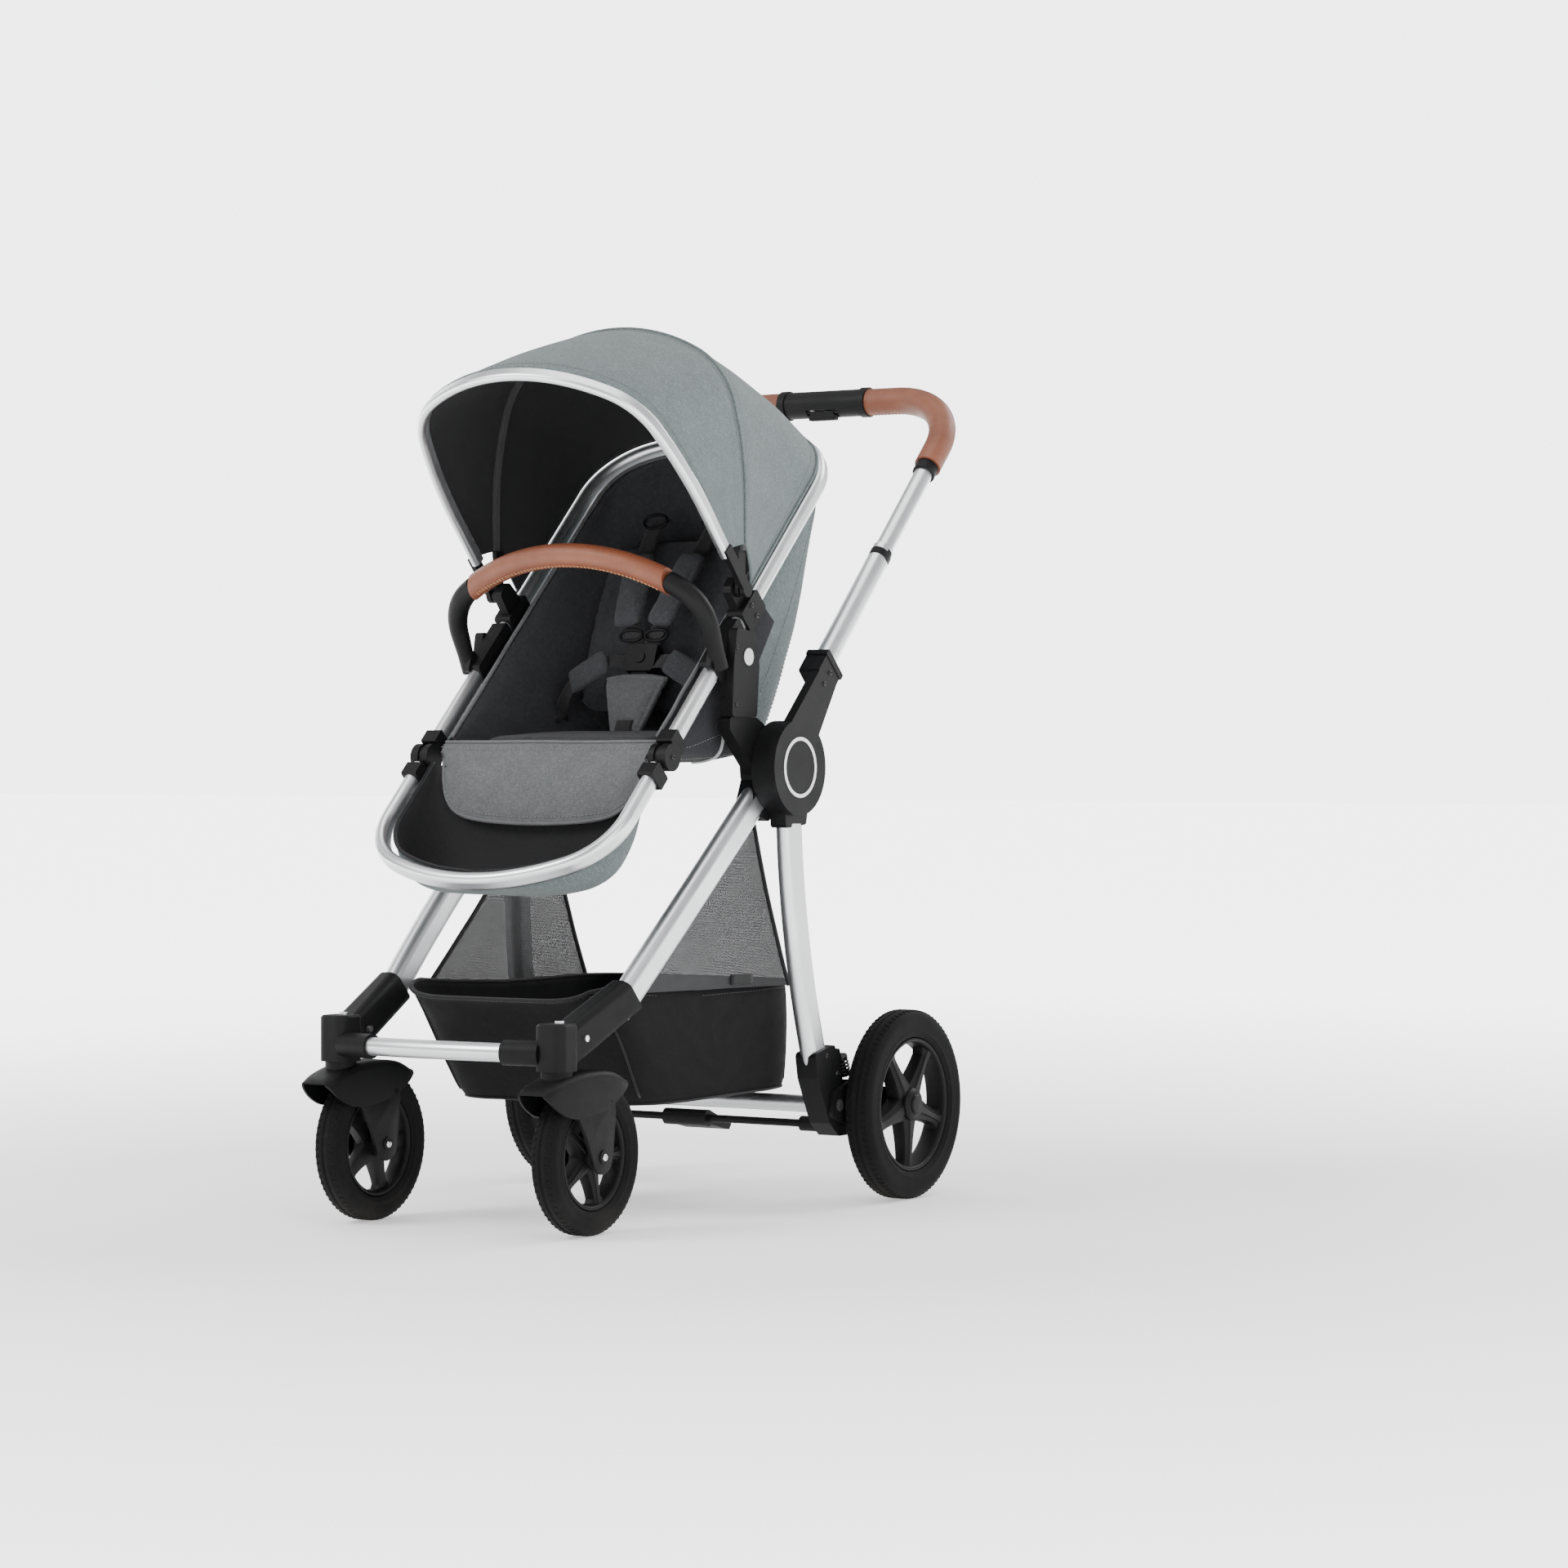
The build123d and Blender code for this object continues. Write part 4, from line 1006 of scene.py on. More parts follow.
# bottom outline in side view, from the front edge to the head
bottomLine = [(-205, 589), (-203, 580), (-190, 577), (-120, 575.5), (-62, 576), (14, 582), (56, 604),
    (80, 648), (106, 700), (124, 742),
              (140, 792), (151, 838), (160, 882), (169, 925), (182, 968), (195, 1000)]
# where each of those is held on the tube, along it from the knee
heldLine = [32, 36, 40, 74, 118, 160, 205, 250, 300, 345, 395, 440, 490, 535, 575, 600]


def seatProfile(part):
    steps = np.linspace(0, 1, len(bottomLine))
    y = np.interp(part, steps, [p[0] for p in bottomLine])
    z = np.interp(part, steps, [p[1] for p in bottomLine])
    s = np.interp(part, steps, heldLine)
    return y, z, s


def seatWidth(s, inset=0.0):
    # half-width of the opening inside the tube, which rounds over at the head
    half = seatSet["half"] - inset
    radius, turn = seatSet["corner"][0] - inset, math.radians(seatSet["corner"][1])
    if s <= seatSet["spring"]:
        return half
    centre = half - radius
    rise = s - seatSet["spring"]
    if rise < radius * math.sin(turn):
        return centre + math.sqrt(radius * radius - rise * rise)
    x = centre + radius * math.cos(turn)
    crown = x / math.cos(turn)
    middle = seatSet["spring"] + radius * math.sin(turn) - crown * math.sin(turn)
    return math.sqrt(max(crown * crown - (s - middle) ** 2, 0.0))


def seatCrown(inset=0.0):
    half = seatSet["half"] - inset
    radius, turn = seatSet["corner"][0] - inset, math.radians(seatSet["corner"][1])
    x = half - radius + radius * math.cos(turn)
    crown = x / math.cos(turn)
    return seatSet["spring"] + radius * math.sin(turn) + crown * (1 - math.sin(turn))


def smoothSeries(values, rounds=6):
    values = np.array(values, float)
    for _ in range(rounds):
        values[1:-1] = values[1:-1] * 0.5 + (values[:-2] + values[2:]) * 0.25
    return values


def bucketRows(inset=0.0, square=None):
    parts = np.linspace(0, 1, seatSet["stations"])
    ys, zs, ss = zip(*[seatProfile(p) for p in parts])
    ys, zs, ss = smoothSeries(ys, 3), smoothSeries(zs, 3), smoothSeries(ss, 3)
    top = seatCrown(inset)
    rows = []
    power = 2.0 / (square or seatSet["square"])
    for k, (y, z, s) in enumerate(zip(ys, zs, ss)):
        s = min(s, top - 0.6)
        wide = seatWidth(s, inset)
        rail = onSeat(0, s, 1.0)
        deep = at(0, y, z)
        way = deep - rail
        length = way.length
        if length > 1e-6:
            deep = rail + way * max(0.05, 1 - inset * 0.001 / length)
        row = []
        for j in range(seatSet["across"]):
            angle = math.pi * j / (seatSet["across"] - 1)
            c, d = math.cos(angle), math.sin(angle)
            side = math.copysign(abs(c) ** power, c)
            down = abs(d) ** power
            row.append(tuple(Vector((wide * 0.001 * side, 0, 0)) + rail + (deep - rail) * down))
        rows.append(row)
    return np.array(rows)


shellRows = bucketRows()
keep = np.ones(shellRows.shape[:2])
keep *= np.clip(np.minimum(np.arange(seatSet["across"]), np.arange(seatSet["across"])[::-1]) / 8.0, 0,
    1)[None]
shellRows = wrinkled(shellRows, seatSet["foldSize"], 0.09, 4.1, keep)
sideSeam, shadedSideEnd = -74.0, -8.0  # the light piping, and where the dark side cloth with its painted shade ends


# slot 2 is the dark side cloth with painted shade: it covers the front of each side, and also the grey shell just
# behind the piping, where only shadow falls
def shellSlot(i, j):
    spot = shellRows[i, j]
    onSide = abs(spot[0]) > 0.13
    return 2 if onSide and spot[1] * 1000 - setback < shadedSideEnd else 0


kit = newKit()
addCloth(kit, shellRows, seatSet["thick"] * 0.001, 0, 1, side=facesOut(shellRows, onSeat(0, 300, -40)),
    slotOf=shellSlot)
seatShell = pieceFrom(kit, "seatShellCloth", [shellCloth, linerCloth, sideClothPaintedShade])
shellFlat, shellArea = cutSize(shellRows)

linerRows = bucketRows(seatSet["linerGap"], 3.6)
linerRows = wrinkled(linerRows, 0.0016, 0.07, 9.7)
kit = newKit()
addCloth(kit, linerRows, seatSet["linerThick"] * 0.001, 0, 0, side=facesOut(linerRows, onSeat(0, 300, -40)))
seatLiner = pieceFrom(kit, "seatLinerCloth", [linerCloth])
linerFlat, linerArea = cutSize(linerRows)

# piping where the liner turns over the tube's inner side
rimLine = [linerRows[i, 0] for i in range(3, seatSet["stations"])] + [linerRows[i, -1]
    for i in range(seatSet["stations"] - 2, 2, -1)]
rimLine = smoothPath([Vector(p) + Vector((0, -0.003, 0.003)) for p in rimLine], 220, rounds=1)
seatPiping = hemTube("seatPiping", rimLine, 0.0026, darkPiping)

# light piping down each side of the shell
sidePipes = newKit()
for hand in (1, -1):
    best = []
    for j in range(2, 26):
        column = j if hand > 0 else seatSet["across"] - 1 - j
        off = shellRows[:, column, 1] * 1000 - setback - sideSeam
        turns = np.where(off[:-1] * off[1:] < 0)[0]
        if len(turns):  # the place between two rows where the seam runs
            k = turns[0]
            part = off[k] / (off[k] - off[k + 1])
            spot = shellRows[k, column] * (1 - part) + shellRows[k + 1, column] * part
            best.append(spot + np.array((0.0016 * hand, 0, 0)))
    addTube(sidePipes, smoothPath(best, 60), 0.0022)
sidePiping = pieceFrom(sidePipes, "sidePiping", [pipingCloth])
print("seat shell and liner")


# padded pieces
def pillow(origin, acrossWay, alongWay, wide, long, thick, corner=0.45, edge=8, fine=26, taper=1.0,
    lay=None):
    # a crowned closed form; taper is the width at the far end over the near end
    origin, a, b = Vector(origin), Vector(acrossWay).normalized(), Vector(alongWay).normalized()
    c = a.cross(b).normalized()
    kit = newKit()
    for face in (1, -1):
        rows = []
        for i in range(fine):
            v = -1 + 2 * i / (fine - 1)
            row = []
            for j in range(fine):
                u = -1 + 2 * j / (fine - 1)
                x = u * math.sqrt(1 - corner * v * v / 2)
                y = v * math.sqrt(1 - corner * u * u / 2)
                x *= 1 + (taper - 1) * (v + 1) / 2
                high = math.sqrt(max(0.0, (1 - abs(u) ** edge) * (1 - abs(v) ** edge)))
                spot = origin + a * (x * wide / 2) + b * (y * long / 2) + c * (face * high * thick / 2)
                row.append(tuple(spot if lay is None else lay(spot)))
            rows.append(row)
        addGrid(kit, np.array(rows), 0, flip=face < 0)
    return kit


def puffed(name, kit, material, voxel=0.005, pressure=4.0, cap=0.006, seams=(), seamDeep=0.003,
    seamWide=0.006, levels=1, hold=None):
    # fills the shape with air as cloth, keeps how far it may swell, then sews its seams in
    base = pieceFrom(kit, name, [material], weld=1e-5)
    remesh = base.modifiers.new("remesh", "REMESH")
    remesh.mode = "VOXEL"
    remesh.voxel_size = voxel
    remesh.use_smooth_shade = True
    applied(base)
    before = np.array([v.co for v in base.data.vertices])
    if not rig.quick():
        cloth = base.modifiers.new("air", "CLOTH")
        cloth.settings.quality = 5
        cloth.settings.mass = 0.2
        cloth.settings.tension_stiffness = 15
        cloth.settings.compression_stiffness = 15
        cloth.settings.bending_stiffness = 0.6
        cloth.settings.use_pressure = True
        cloth.settings.uniform_pressure_force = pressure
        cloth.settings.effector_weights.gravity = 0
        cloth.collision_settings.use_collision = False
        for k in range(1, 21):
            scene.frame_set(k)
        applied(base)
        scene.frame_set(1)
        after = np.array([v.co for v in base.data.vertices])
        if len(after) == len(before) and np.isfinite(after).all():
            move = after - before
            move -= move.mean(axis=0)
            far = np.linalg.norm(move, axis=1, keepdims=True)
            move *= np.minimum(1.0, cap / np.maximum(far, 1e-9))
            before = before + move
    if levels:
        base.data.vertices.foreach_set("co", before.astype(np.float32).ravel())
        softened(base, levels)
        applied(base)
        before = np.array([v.co for v in base.data.vertices])
    if seams:
        normals = np.array([v.normal for v in base.data.vertices])
        push = np.zeros(len(before))
        for seam in seams:
            seam = np.array([tuple(p) for p in seam], float)
            best = np.full(len(before), 1e9)
            for p, q in zip(seam[:-1], seam[1:]):
                d = q - p
                t = np.clip(((before - p) @ d) / max(float(d @ d), 1e-12), 0, 1)
                best = np.minimum(best, np.linalg.norm(before - p - t[:, None] * d, axis=1))
            push = np.maximum(push, seamDeep * np.exp(-((best / seamWide) ** 2)))
        before = before - normals * push[:, None]
    if hold is not None:
        before = hold(before)
    base.data.vertices.foreach_set("co", before.astype(np.float32).ravel())
    base.data.materials.clear()
    base.data.materials.append(material)
    mapped = base.data.uv_layers.get("clothMap") or base.data.uv_layers.new(name="clothMap")
    normals = np.array([v.normal for v in base.data.vertices])
    spots = np.array([base.data.vertices[loop.vertex_index].co for loop in base.data.loops])
    faces = np.array([base.data.vertices[loop.vertex_index].normal for loop in base.data.loops])
    # the map lies along X and down the slope, which suits pads that face forward or up
    down = np.where(np.abs(faces[:, 2]) > 0.75, spots[:, 1], spots[:, 2])
    mapped.data.foreach_set("uv", np.stack([spots[:, 0], down], axis=1).astype(np.float32).ravel())
    base.data.polygons.foreach_set("use_smooth", [True] * len(base.data.polygons))
    return base


# the sitting cushion and the back cushion
cushionSet = {"seatWide": 296, "seatLong": 192, "seatThick": 17, "backWide": 262, "backLong": 262,
    "backThick": 18}
boardFrom, boardTo = at(0, -203, 592), at(0, -14, 602)
boardWay = (boardTo - boardFrom).normalized()
boardMid = (boardFrom + boardTo) / 2
seams = []
for x in (-0.052, 0.052):
    up = Vector((x, 0, 0)) + Vector((0, 0, 0.010))
    seams.append([boardMid + up + boardWay * t for t in np.linspace(-0.085, 0.085, 12)])
seams.append([boardMid + Vector((t, 0, 0.010)) + boardWay * 0.045 for t in np.linspace(-0.13, 0.13, 12)])
kit = pillow(boardMid + Vector((0, 0, 0.004)), (1, 0, 0), boardWay, cushionSet["seatWide"] * 0.001,
    cushionSet["seatLong"] * 0.001, cushionSet["seatThick"] * 0.001, 0.28)
seatCushion = puffed("seatCushion", kit, linerCloth, 0.005, 4.0, 0.005, seams, 0.0026, 0.005)

backFrom, backTo = at(0, 16, 640), at(0, 104, 868)
backWay = (backTo - backFrom).normalized()
backMid = (backFrom + backTo) / 2
backOut = Vector((1, 0, 0)).cross(backWay)
seams = []
for x in (-0.07, 0.07):
    seams.append([backMid + Vector((x, 0, 0)) + backOut * 0.011 + backWay * t
        for t in np.linspace(-0.125, 0.125, 14)])
for d in (-0.05, 0.05):
    seams.append([backMid + Vector((t, 0, 0)) + backOut * 0.011 + backWay * d
        for t in np.linspace(-0.07, 0.07, 8)])
kit = pillow(backMid + backOut * 0.002, (1, 0, 0), backWay, cushionSet["backWide"] * 0.001,
    cushionSet["backLong"] * 0.001, cushionSet["backThick"] * 0.001, 0.35)
backCushion = puffed("backCushion", kit, linerCloth, 0.005, 4.0, 0.005, seams, 0.0026, 0.005)
print("seat cushions")


# harness
strapSet = {"y": -50, "z": 598, "angle": 69.0}
lapAlong = Vector((0, math.cos(math.radians(strapSet["angle"])), math.sin(math.radians(strapSet["angle"]))))
lapFace = Vector((0, -math.sin(math.radians(strapSet["angle"])), math.cos(math.radians(strapSet["angle"]))))


def onLap(x, along, out=0.0):
    return at(x, strapSet["y"], strapSet["z"]) + (lapAlong * along + lapFace * out) * 0.001


crotchSeams = [
    [onLap(-17 - t * 26, 8 + t * 86, 9) for t in np.linspace(0, 1, 10)],
    [onLap(17 + t * 26, 8 + t * 86, 9) for t in np.linspace(0, 1, 10)],
    [onLap(t, 92, 9) for t in np.linspace(-42, 42, 10)],
    [onLap(t, 30, 9) for t in np.linspace(-13, 13, 6)],
]
kit = pillow(onLap(0, 54, 1.5), (1, 0, 0), lapAlong, 0.047, 0.096, 0.013, 0.22, 8, 24, 2.35)
crotchPad = puffed("crotchPad", kit, padCloth, 0.004, 4.0, 0.004, crotchSeams, 0.0016, 0.0028)
straps = newKit()
addStrap(straps, smoothPath([onLap(0, 10, 9.5), onLap(0, 24, 10.5), onLap(0, 31, 10.0), onLap(0, 33, 6.0)],
    16), 0.025, 0.0022, lapFace)
addStrap(straps, smoothPath([onLap(0, 98, 1), onLap(0, 106, 0)], 6), 0.025, 0.0022, lapFace)
# waist straps from the buckle round to the seat's corners
for hand in (1, -1):
    line = smoothPath([onLap(22 * hand, 118, 0), onLap(44 * hand, 116, 8), onLap(78 * hand, 104, 10),
        onLap(108 * hand, 84, -2), at(136 * hand, -4, 640), at(146 * hand, 12, 632)], 44)
    addStrap(straps, line, 0.025, 0.0018, np.array([(hand * 0.35, -0.72, 0.6)] * 44) + np.linspace(0, 1,
        44)[:, None] * np.array([(-hand * 0.9, 0, 0)]))
    # shoulder straps: from the buckle's top, under the pads, into the slots in the back
    low = onLap(10 * hand, 138, 2)
    line = smoothPath([low, onLap(18 * hand, 156, 8), at(30 * hand, 14, 772), at(40 * hand, 44, 820),
        at(46 * hand, 74, 868), at(47 * hand, 96, 892), at(47 * hand, 112, 900)], 60)
    addStrap(straps, line, 0.025, 0.0018, (0, -0.9, 0.42))
harnessStraps = pieceFrom(straps, "harnessStraps", [webbingCloth])


shoulderPads = []
for hand, side in bothSides:
    a, b = at(24 * hand, -6, 752), at(44 * hand, 58, 852)
    way = (b - a).normalized()
    out = Vector((1, 0, 0)).cross(way).normalized()
    mid = (a + b) / 2 + out * 0.003
    across = way.cross(out).normalized()
    seams = [[mid + across * t + out * 0.010 + way * k for k in np.linspace(-0.05, 0.05, 8)]
        for t in (-0.017, 0.017)]
    kit = pillow(mid, across if across.x > 0 else -across, way, 0.046, (b - a).length, 0.014, 0.3, 8, 24)
    shoulderPads.append(puffed(side + "ShoulderPad", kit, linerCloth, 0.004, 4.0, 0.004, seams, 0.0014,
        0.0026))
waistPads = []
for hand, side in bothSides:
    a, b = onLap(46 * hand, 117, 9), onLap(106 * hand, 86, 0)
    way = (b - a).normalized()
    across = way.cross(lapFace).normalized()
    mid = (a + b) / 2 + lapFace * 0.003
    seams = [[mid + across * t + lapFace * 0.009 + way * k for k in np.linspace(-0.028, 0.028, 6)]
        for t in (-0.012, 0.012)]
    kit = pillow(mid, way, across, (b - a).length, 0.038, 0.012, 0.3, 8, 22)
    waistPads.append(puffed(side + "WaistPad", kit, linerCloth, 0.004, 4.0, 0.003, seams, 0.0012, 0.0024))
# slide adjusters on the shoulder straps and the slots' guards
guards = newKit()
for hand in (1, -1):
    for centre, wide, high in ((at(47 * hand, 96, 897), 0.036, 0.020),
        (at(20 * hand, -2, 742), 0.034, 0.016)):
        out = Vector((0, -0.9, 0.42)).normalized()
        up = Vector((1, 0, 0)).cross(out).normalized() * -1
        ring = [centre + Vector((wide / 2, 0, 0)) * a + up * high / 2 * b + out * 0.002
            for a, b in ((1, 1), (-1, 1), (-1, -1), (1, -1))]
        addTube(guards, smoothPath(ring, 40, closed=True, rounds=3), 0.0022, closed=True, sides=8)
strapGuards = sharpened(pieceFrom(guards, "strapGuards", [mouldedBlack]), 60)
print("harness")


# calf panel and foot pocket
calfSet = {"halfTop": 165, "high": 98, "across": 61, "down": 24, "bulge": 8}


def calfRow(v):
    # v runs 0 at the seat's front edge to 1 at the flap's lower edge; the lower corners are round
    row = []
    for j in range(calfSet["across"]):
        u = -1 + 2 * j / (calfSet["across"] - 1)
        reach = math.sqrt(max(0.0, 1 - abs(u) ** 9)) * 0.86 + 0.14 * (1 - u * u)
        drop = calfSet["high"] * v * max(reach, 0.16)
        x = calfSet["halfTop"] * u * (1 - 0.05 * v)
        bow = calfSet["bulge"] * math.cos(math.pi * u / 2) * math.sin(math.pi * min(1, v * 1.05)) ** 0.8
        y = -222 - 4 * math.sin(math.pi * min(1.0, v * 2) / 2) - 26 * drop / calfSet["high"] - bow
        row.append(tuple(at(x, y, 597 - drop)))
    return row


calfRows = np.array([calfRow(v) for v in np.linspace(0, 1, calfSet["down"])])
calfRows = wrinkled(calfRows, 0.0010, 0.08, 2.2)
# the top turns back over the cushion's front edge
turned = []
for k, (dy, dz) in enumerate(((16, 4.5), (8, 4.2), (2, 3.0))):
    turned.append([tuple(Vector(p) + Vector((0, dy * 0.001, dz * 0.001))) for p in calfRows[0]])
calfRows = np.concatenate([np.array(turned), calfRows])
kit = newKit()
addCloth(kit, calfRows, 0.0028, 0, 1, side=facesOut(calfRows, at(0, -150, 560)))
calfPanel = pieceFrom(kit, "calfPanel", [calfCloth, liningCloth])
calfFlat, calfArea = cutSize(calfRows)
calfHem = hemTube("calfPanelHem", calfRows[-1], 0.0022, darkPiping)
calfWelt = hemTube("calfPanelWelt", [Vector(p) + Vector((0, -0.001, 0.0015)) for p in calfRows[1]], 0.0023,
    darkPiping)

footSet = {"half": 169.0, "spring": 104.0, "corner": (76.0, 65.1), "across": 61, "stations": 40,
    "square": 3.6}
footLine = [(-8, 10), (-30, 34), (-62, 58), (-92, 78), (-122, 88), (-152, 87), (-178, 70), (-196, 44),
    (-205, 20), (-207, 8)]
footHeld = [-8, -22, -44, -66, -90, -116, -146, -174, -198, -206]


def footWidth(s, inset=0.0):
    half, radius, turn = footSet["half"] - inset, footSet["corner"][0] - inset, math.radians(
        footSet["corner"][1])
    if s <= footSet["spring"]:
        return half
    centre, rise = half - radius, s - footSet["spring"]
    if rise < radius * math.sin(turn):
        return centre + math.sqrt(radius * radius - rise * rise)
    x = centre + radius * math.cos(turn)
    crown = x / math.cos(turn)
    middle = footSet["spring"] + radius * math.sin(turn) - crown * math.sin(turn)
    return math.sqrt(max(crown * crown - (s - middle) ** 2, 0.0))


def pocketRows(inset=0.0):
    steps = np.linspace(0, 1, len(footLine))
    parts = np.linspace(0, 1, footSet["stations"])
    s = smoothSeries(np.interp(parts, steps, [p[0] for p in footLine]), 4)
    d = smoothSeries(np.interp(parts, steps, [p[1] for p in footLine]), 4)
    h = smoothSeries(np.interp(parts, steps, footHeld), 4)
    power = 2.0 / footSet["square"]
    rows = []
    for k in range(len(parts)):
        wide = max(footWidth(-h[k], inset), 0.5)
        rail = onSeat(0, h[k] + inset * 0.4, 1.0)
        deep = onSeat(0, s[k] + inset * 0.5, d[k] - inset)
        row = []
        for j in range(footSet["across"]):
            angle = math.pi * j / (footSet["across"] - 1)
            c, q = math.cos(angle), math.sin(angle)
            side = math.copysign(abs(c) ** power, c)
            row.append(tuple(Vector((wide * 0.001 * side, 0, 0)) + rail + (deep - rail) * abs(q) ** power))
        rows.append(row)
    return np.array(rows)


footRows = pocketRows()
keep = np.ones(footRows.shape[:2]) * np.clip(np.minimum(np.arange(footSet["across"]),
    np.arange(footSet["across"])[::-1]) / 8.0, 0, 1)[None]
footRows = wrinkled(footRows, 0.0014, 0.07, 6.5, keep)
kit = newKit()
addCloth(kit, footRows, 0.0026, 0, 1, side=facesOut(footRows, onSeat(0, -100, 10)))
footPocket = pieceFrom(kit, "footPocket", [shellCloth, liningCloth])
footFlat, footArea = cutSize(footRows)
rimLine = [footRows[i, 0] for i in range(1, len(footRows))] + [footRows[i, -1]
    for i in range(len(footRows) - 2, 0, -1)]
footPiping = hemTube("footPocketPiping", smoothPath(rimLine, 160, rounds=1), 0.0024, bindingCloth)
print("calf panel and foot pocket")


# storage basket and mesh sides
basketSet = {"half": 156, "around": 96, "levels": 16, "sag": 4, "wallBow": 4.5}


def basketLoop(part):
    # part 0 is the rim and 1 the edge of the floor
    loop = []
    rimFront, rimBack, floorFront, floorBack = -344, 138, -228, 134
    for k in range(basketSet["around"]):
        angle = 2 * math.pi * k / basketSet["around"]
        c, q = math.cos(angle), math.sin(angle)
        power = 2 / 7.0
        u = math.copysign(abs(c) ** power, c)
        v = math.copysign(abs(q) ** power, q)
        half = basketSet["half"] - 3 * part
        bow = basketSet["wallBow"] * math.sin(math.pi * min(1, part)) * (abs(u) > 0.9)
        front = rimFront + (floorFront - rimFront) * part ** 1.15
        back = rimBack + (floorBack - rimBack) * part
        middle, long = (front + back) / 2, (back - front) / 2
        y = middle + long * v
        rise = np.interp(y, [-344, -326, -290, -120, 138], [282, 294, 301, 294, 288])
        low = np.interp(y, [-330, -228, -100, 60, 138], [196, 148, 147, 149, 151])
        z = rise + (low - rise) * part
        dip = 5.0 * (1 - part) * math.cos(math.pi * np.clip((y + 120) / 380, -0.5, 0.5))
        loop.append(tuple(at((half + bow) * u, y, z - dip)))
    return loop


wall = [basketLoop(p) for p in np.linspace(0, 0.94, basketSet["levels"])]
edge = np.array(basketLoop(1.0))
middle = edge.mean(axis=0)
ground = []
for shrink in (0.992, 0.96, 0.85, 0.7, 0.5, 0.3, 0.12, 0.0):
    ring = middle + (edge - middle) * shrink
    ring[:, 2] -= basketSet["sag"] * 0.001 * (1 - shrink ** 2) * 0.8
    ground.append([tuple(p) for p in ring])
basketRows = np.array(wall + ground)
keep = np.ones(basketRows.shape[:2])
keep[0] = 0.3
keep[-1] = 0
normalsAt = wrinkled(basketRows, 0.0014, 0.1, 8.8, keep)
normalsAt[-1] = normalsAt[-1].mean(axis=0)
basketRows = normalsAt
kit = newKit()
side = facesOut(basketRows, at(0, -120, 230))
addCloth(kit, basketRows, 0.0022, 0, 0, loop=True, side=side)
basketTub = pieceFrom(kit, "basketTub", [basketCloth], weld=2e-5)
basketArea = clothArea(np.concatenate([basketRows, basketRows[:, :1]], axis=1))
basketBinding = hemTube("basketBinding", basketRows[0], 0.0034, bindingCloth, closed=True, flat=0.75)
creases = newKit()
for hand in (1, -1):
    column = [basketRows[i, int(round(basketSet["around"] * (0.125 if hand > 0 else 0.375)))]
        for i in range(0, basketSet["levels"])]
    addTube(creases, column, 0.0015)
    column = [basketRows[i, int(round(basketSet["around"] * (0.875 if hand > 0 else 0.625)))]
        for i in range(0, basketSet["levels"])]
    addTube(creases, column, 0.0015)
addTube(creases, basketRows[basketSet["levels"]], 0.0017, closed=True)
basketSeams = pieceFrom(creases, "basketSeams", [bindingCloth])

meshPieces = []
meshEdges = newKit()
for hand, name in bothSides:
    rows = []
    for i in range(22):
        v = i / 21
        frontY, frontZ = -258 + (-34 + 258) * v, 290 + (503 - 290) * v
        backY, backZ = 96 + (10 - 96) * v, 284 + (503 - 284) * v
        row = []
        for j in range(30):
            u = j / 29
            pinch = 4.0 * math.sin(math.pi * v) * math.sin(math.pi * u)
            y = frontY + (backY - frontY) * u
            z = frontZ + (backZ - frontZ) * u
            row.append(tuple(at(hand * (161.5 - pinch), y + (1 - 2 * u) * 5 * math.sin(math.pi * v), z)))
        rows.append(row)
    rows = np.array(rows)
    rows = wrinkled(rows, 0.0007, 0.06, 3.0 + hand)
    kit = newKit()
    addGrid(kit, rows, 0, flip=facesOut(rows, at(0, -100, 400)) < 0)
    piece = pieceFrom(kit, name + "MeshPanel", [meshCloth], fixNormals=False)
    flat, area = cutSize(rows)
    meshPieces.append((piece, flat, area))
    border = list(rows[:, 0]) + list(rows[-1, 1:]) + list(rows[::-1, -1][1:])
    addTube(meshEdges, smoothPath(border, 120, rounds=1), 0.0038, flat=0.6, up=(1, 0, 0))
meshBinding = pieceFrom(meshEdges, "meshBinding", [bindingCloth])
tagKit = newKit()
tagAt = at(163.5, -20, 297)
addStrap(tagKit, [tagAt + Vector((0, t, 0)) for t in np.linspace(-0.026, 0.026, 8)], 0.013, 0.0016,
    (1, 0, 0))
blankTag = pieceFrom(tagKit, "blankTag", [bindingCloth])
print("basket and mesh sides")


# parts that repeat, grown by rule
def newRule(name, sockets):
    tree = bpy.data.node_groups.new(name, "GeometryNodeTree")
    for label, kind, value in sockets:
        socket = tree.interface.new_socket(label, in_out="INPUT", socket_type="NodeSocket" + kind)
        if value is not None:
            socket.default_value = value
    tree.interface.new_socket("Geometry", in_out="OUTPUT", socket_type="NodeSocketGeometry")
    given, made = tree.nodes.new("NodeGroupInput"), tree.nodes.new("NodeGroupOutput")
    return tree, given.outputs, made.inputs[0]


def endRule(tree, geometry, material, out):
    real = tree.nodes.new("GeometryNodeRealizeInstances")
    paint = tree.nodes.new("GeometryNodeSetMaterial")
    wire(tree, geometry, real.inputs[0])
    wire(tree, real.outputs[0], paint.inputs[0])
    wire(tree, material, paint.inputs["Material"])
    wire(tree, paint.outputs[0], out)


def partOf(tree, socket):
    info = tree.nodes.new("GeometryNodeObjectInfo")
    info.transform_space = "ORIGINAL"
    wire(tree, socket, info.inputs["Object"])
    return info.outputs["Geometry"]


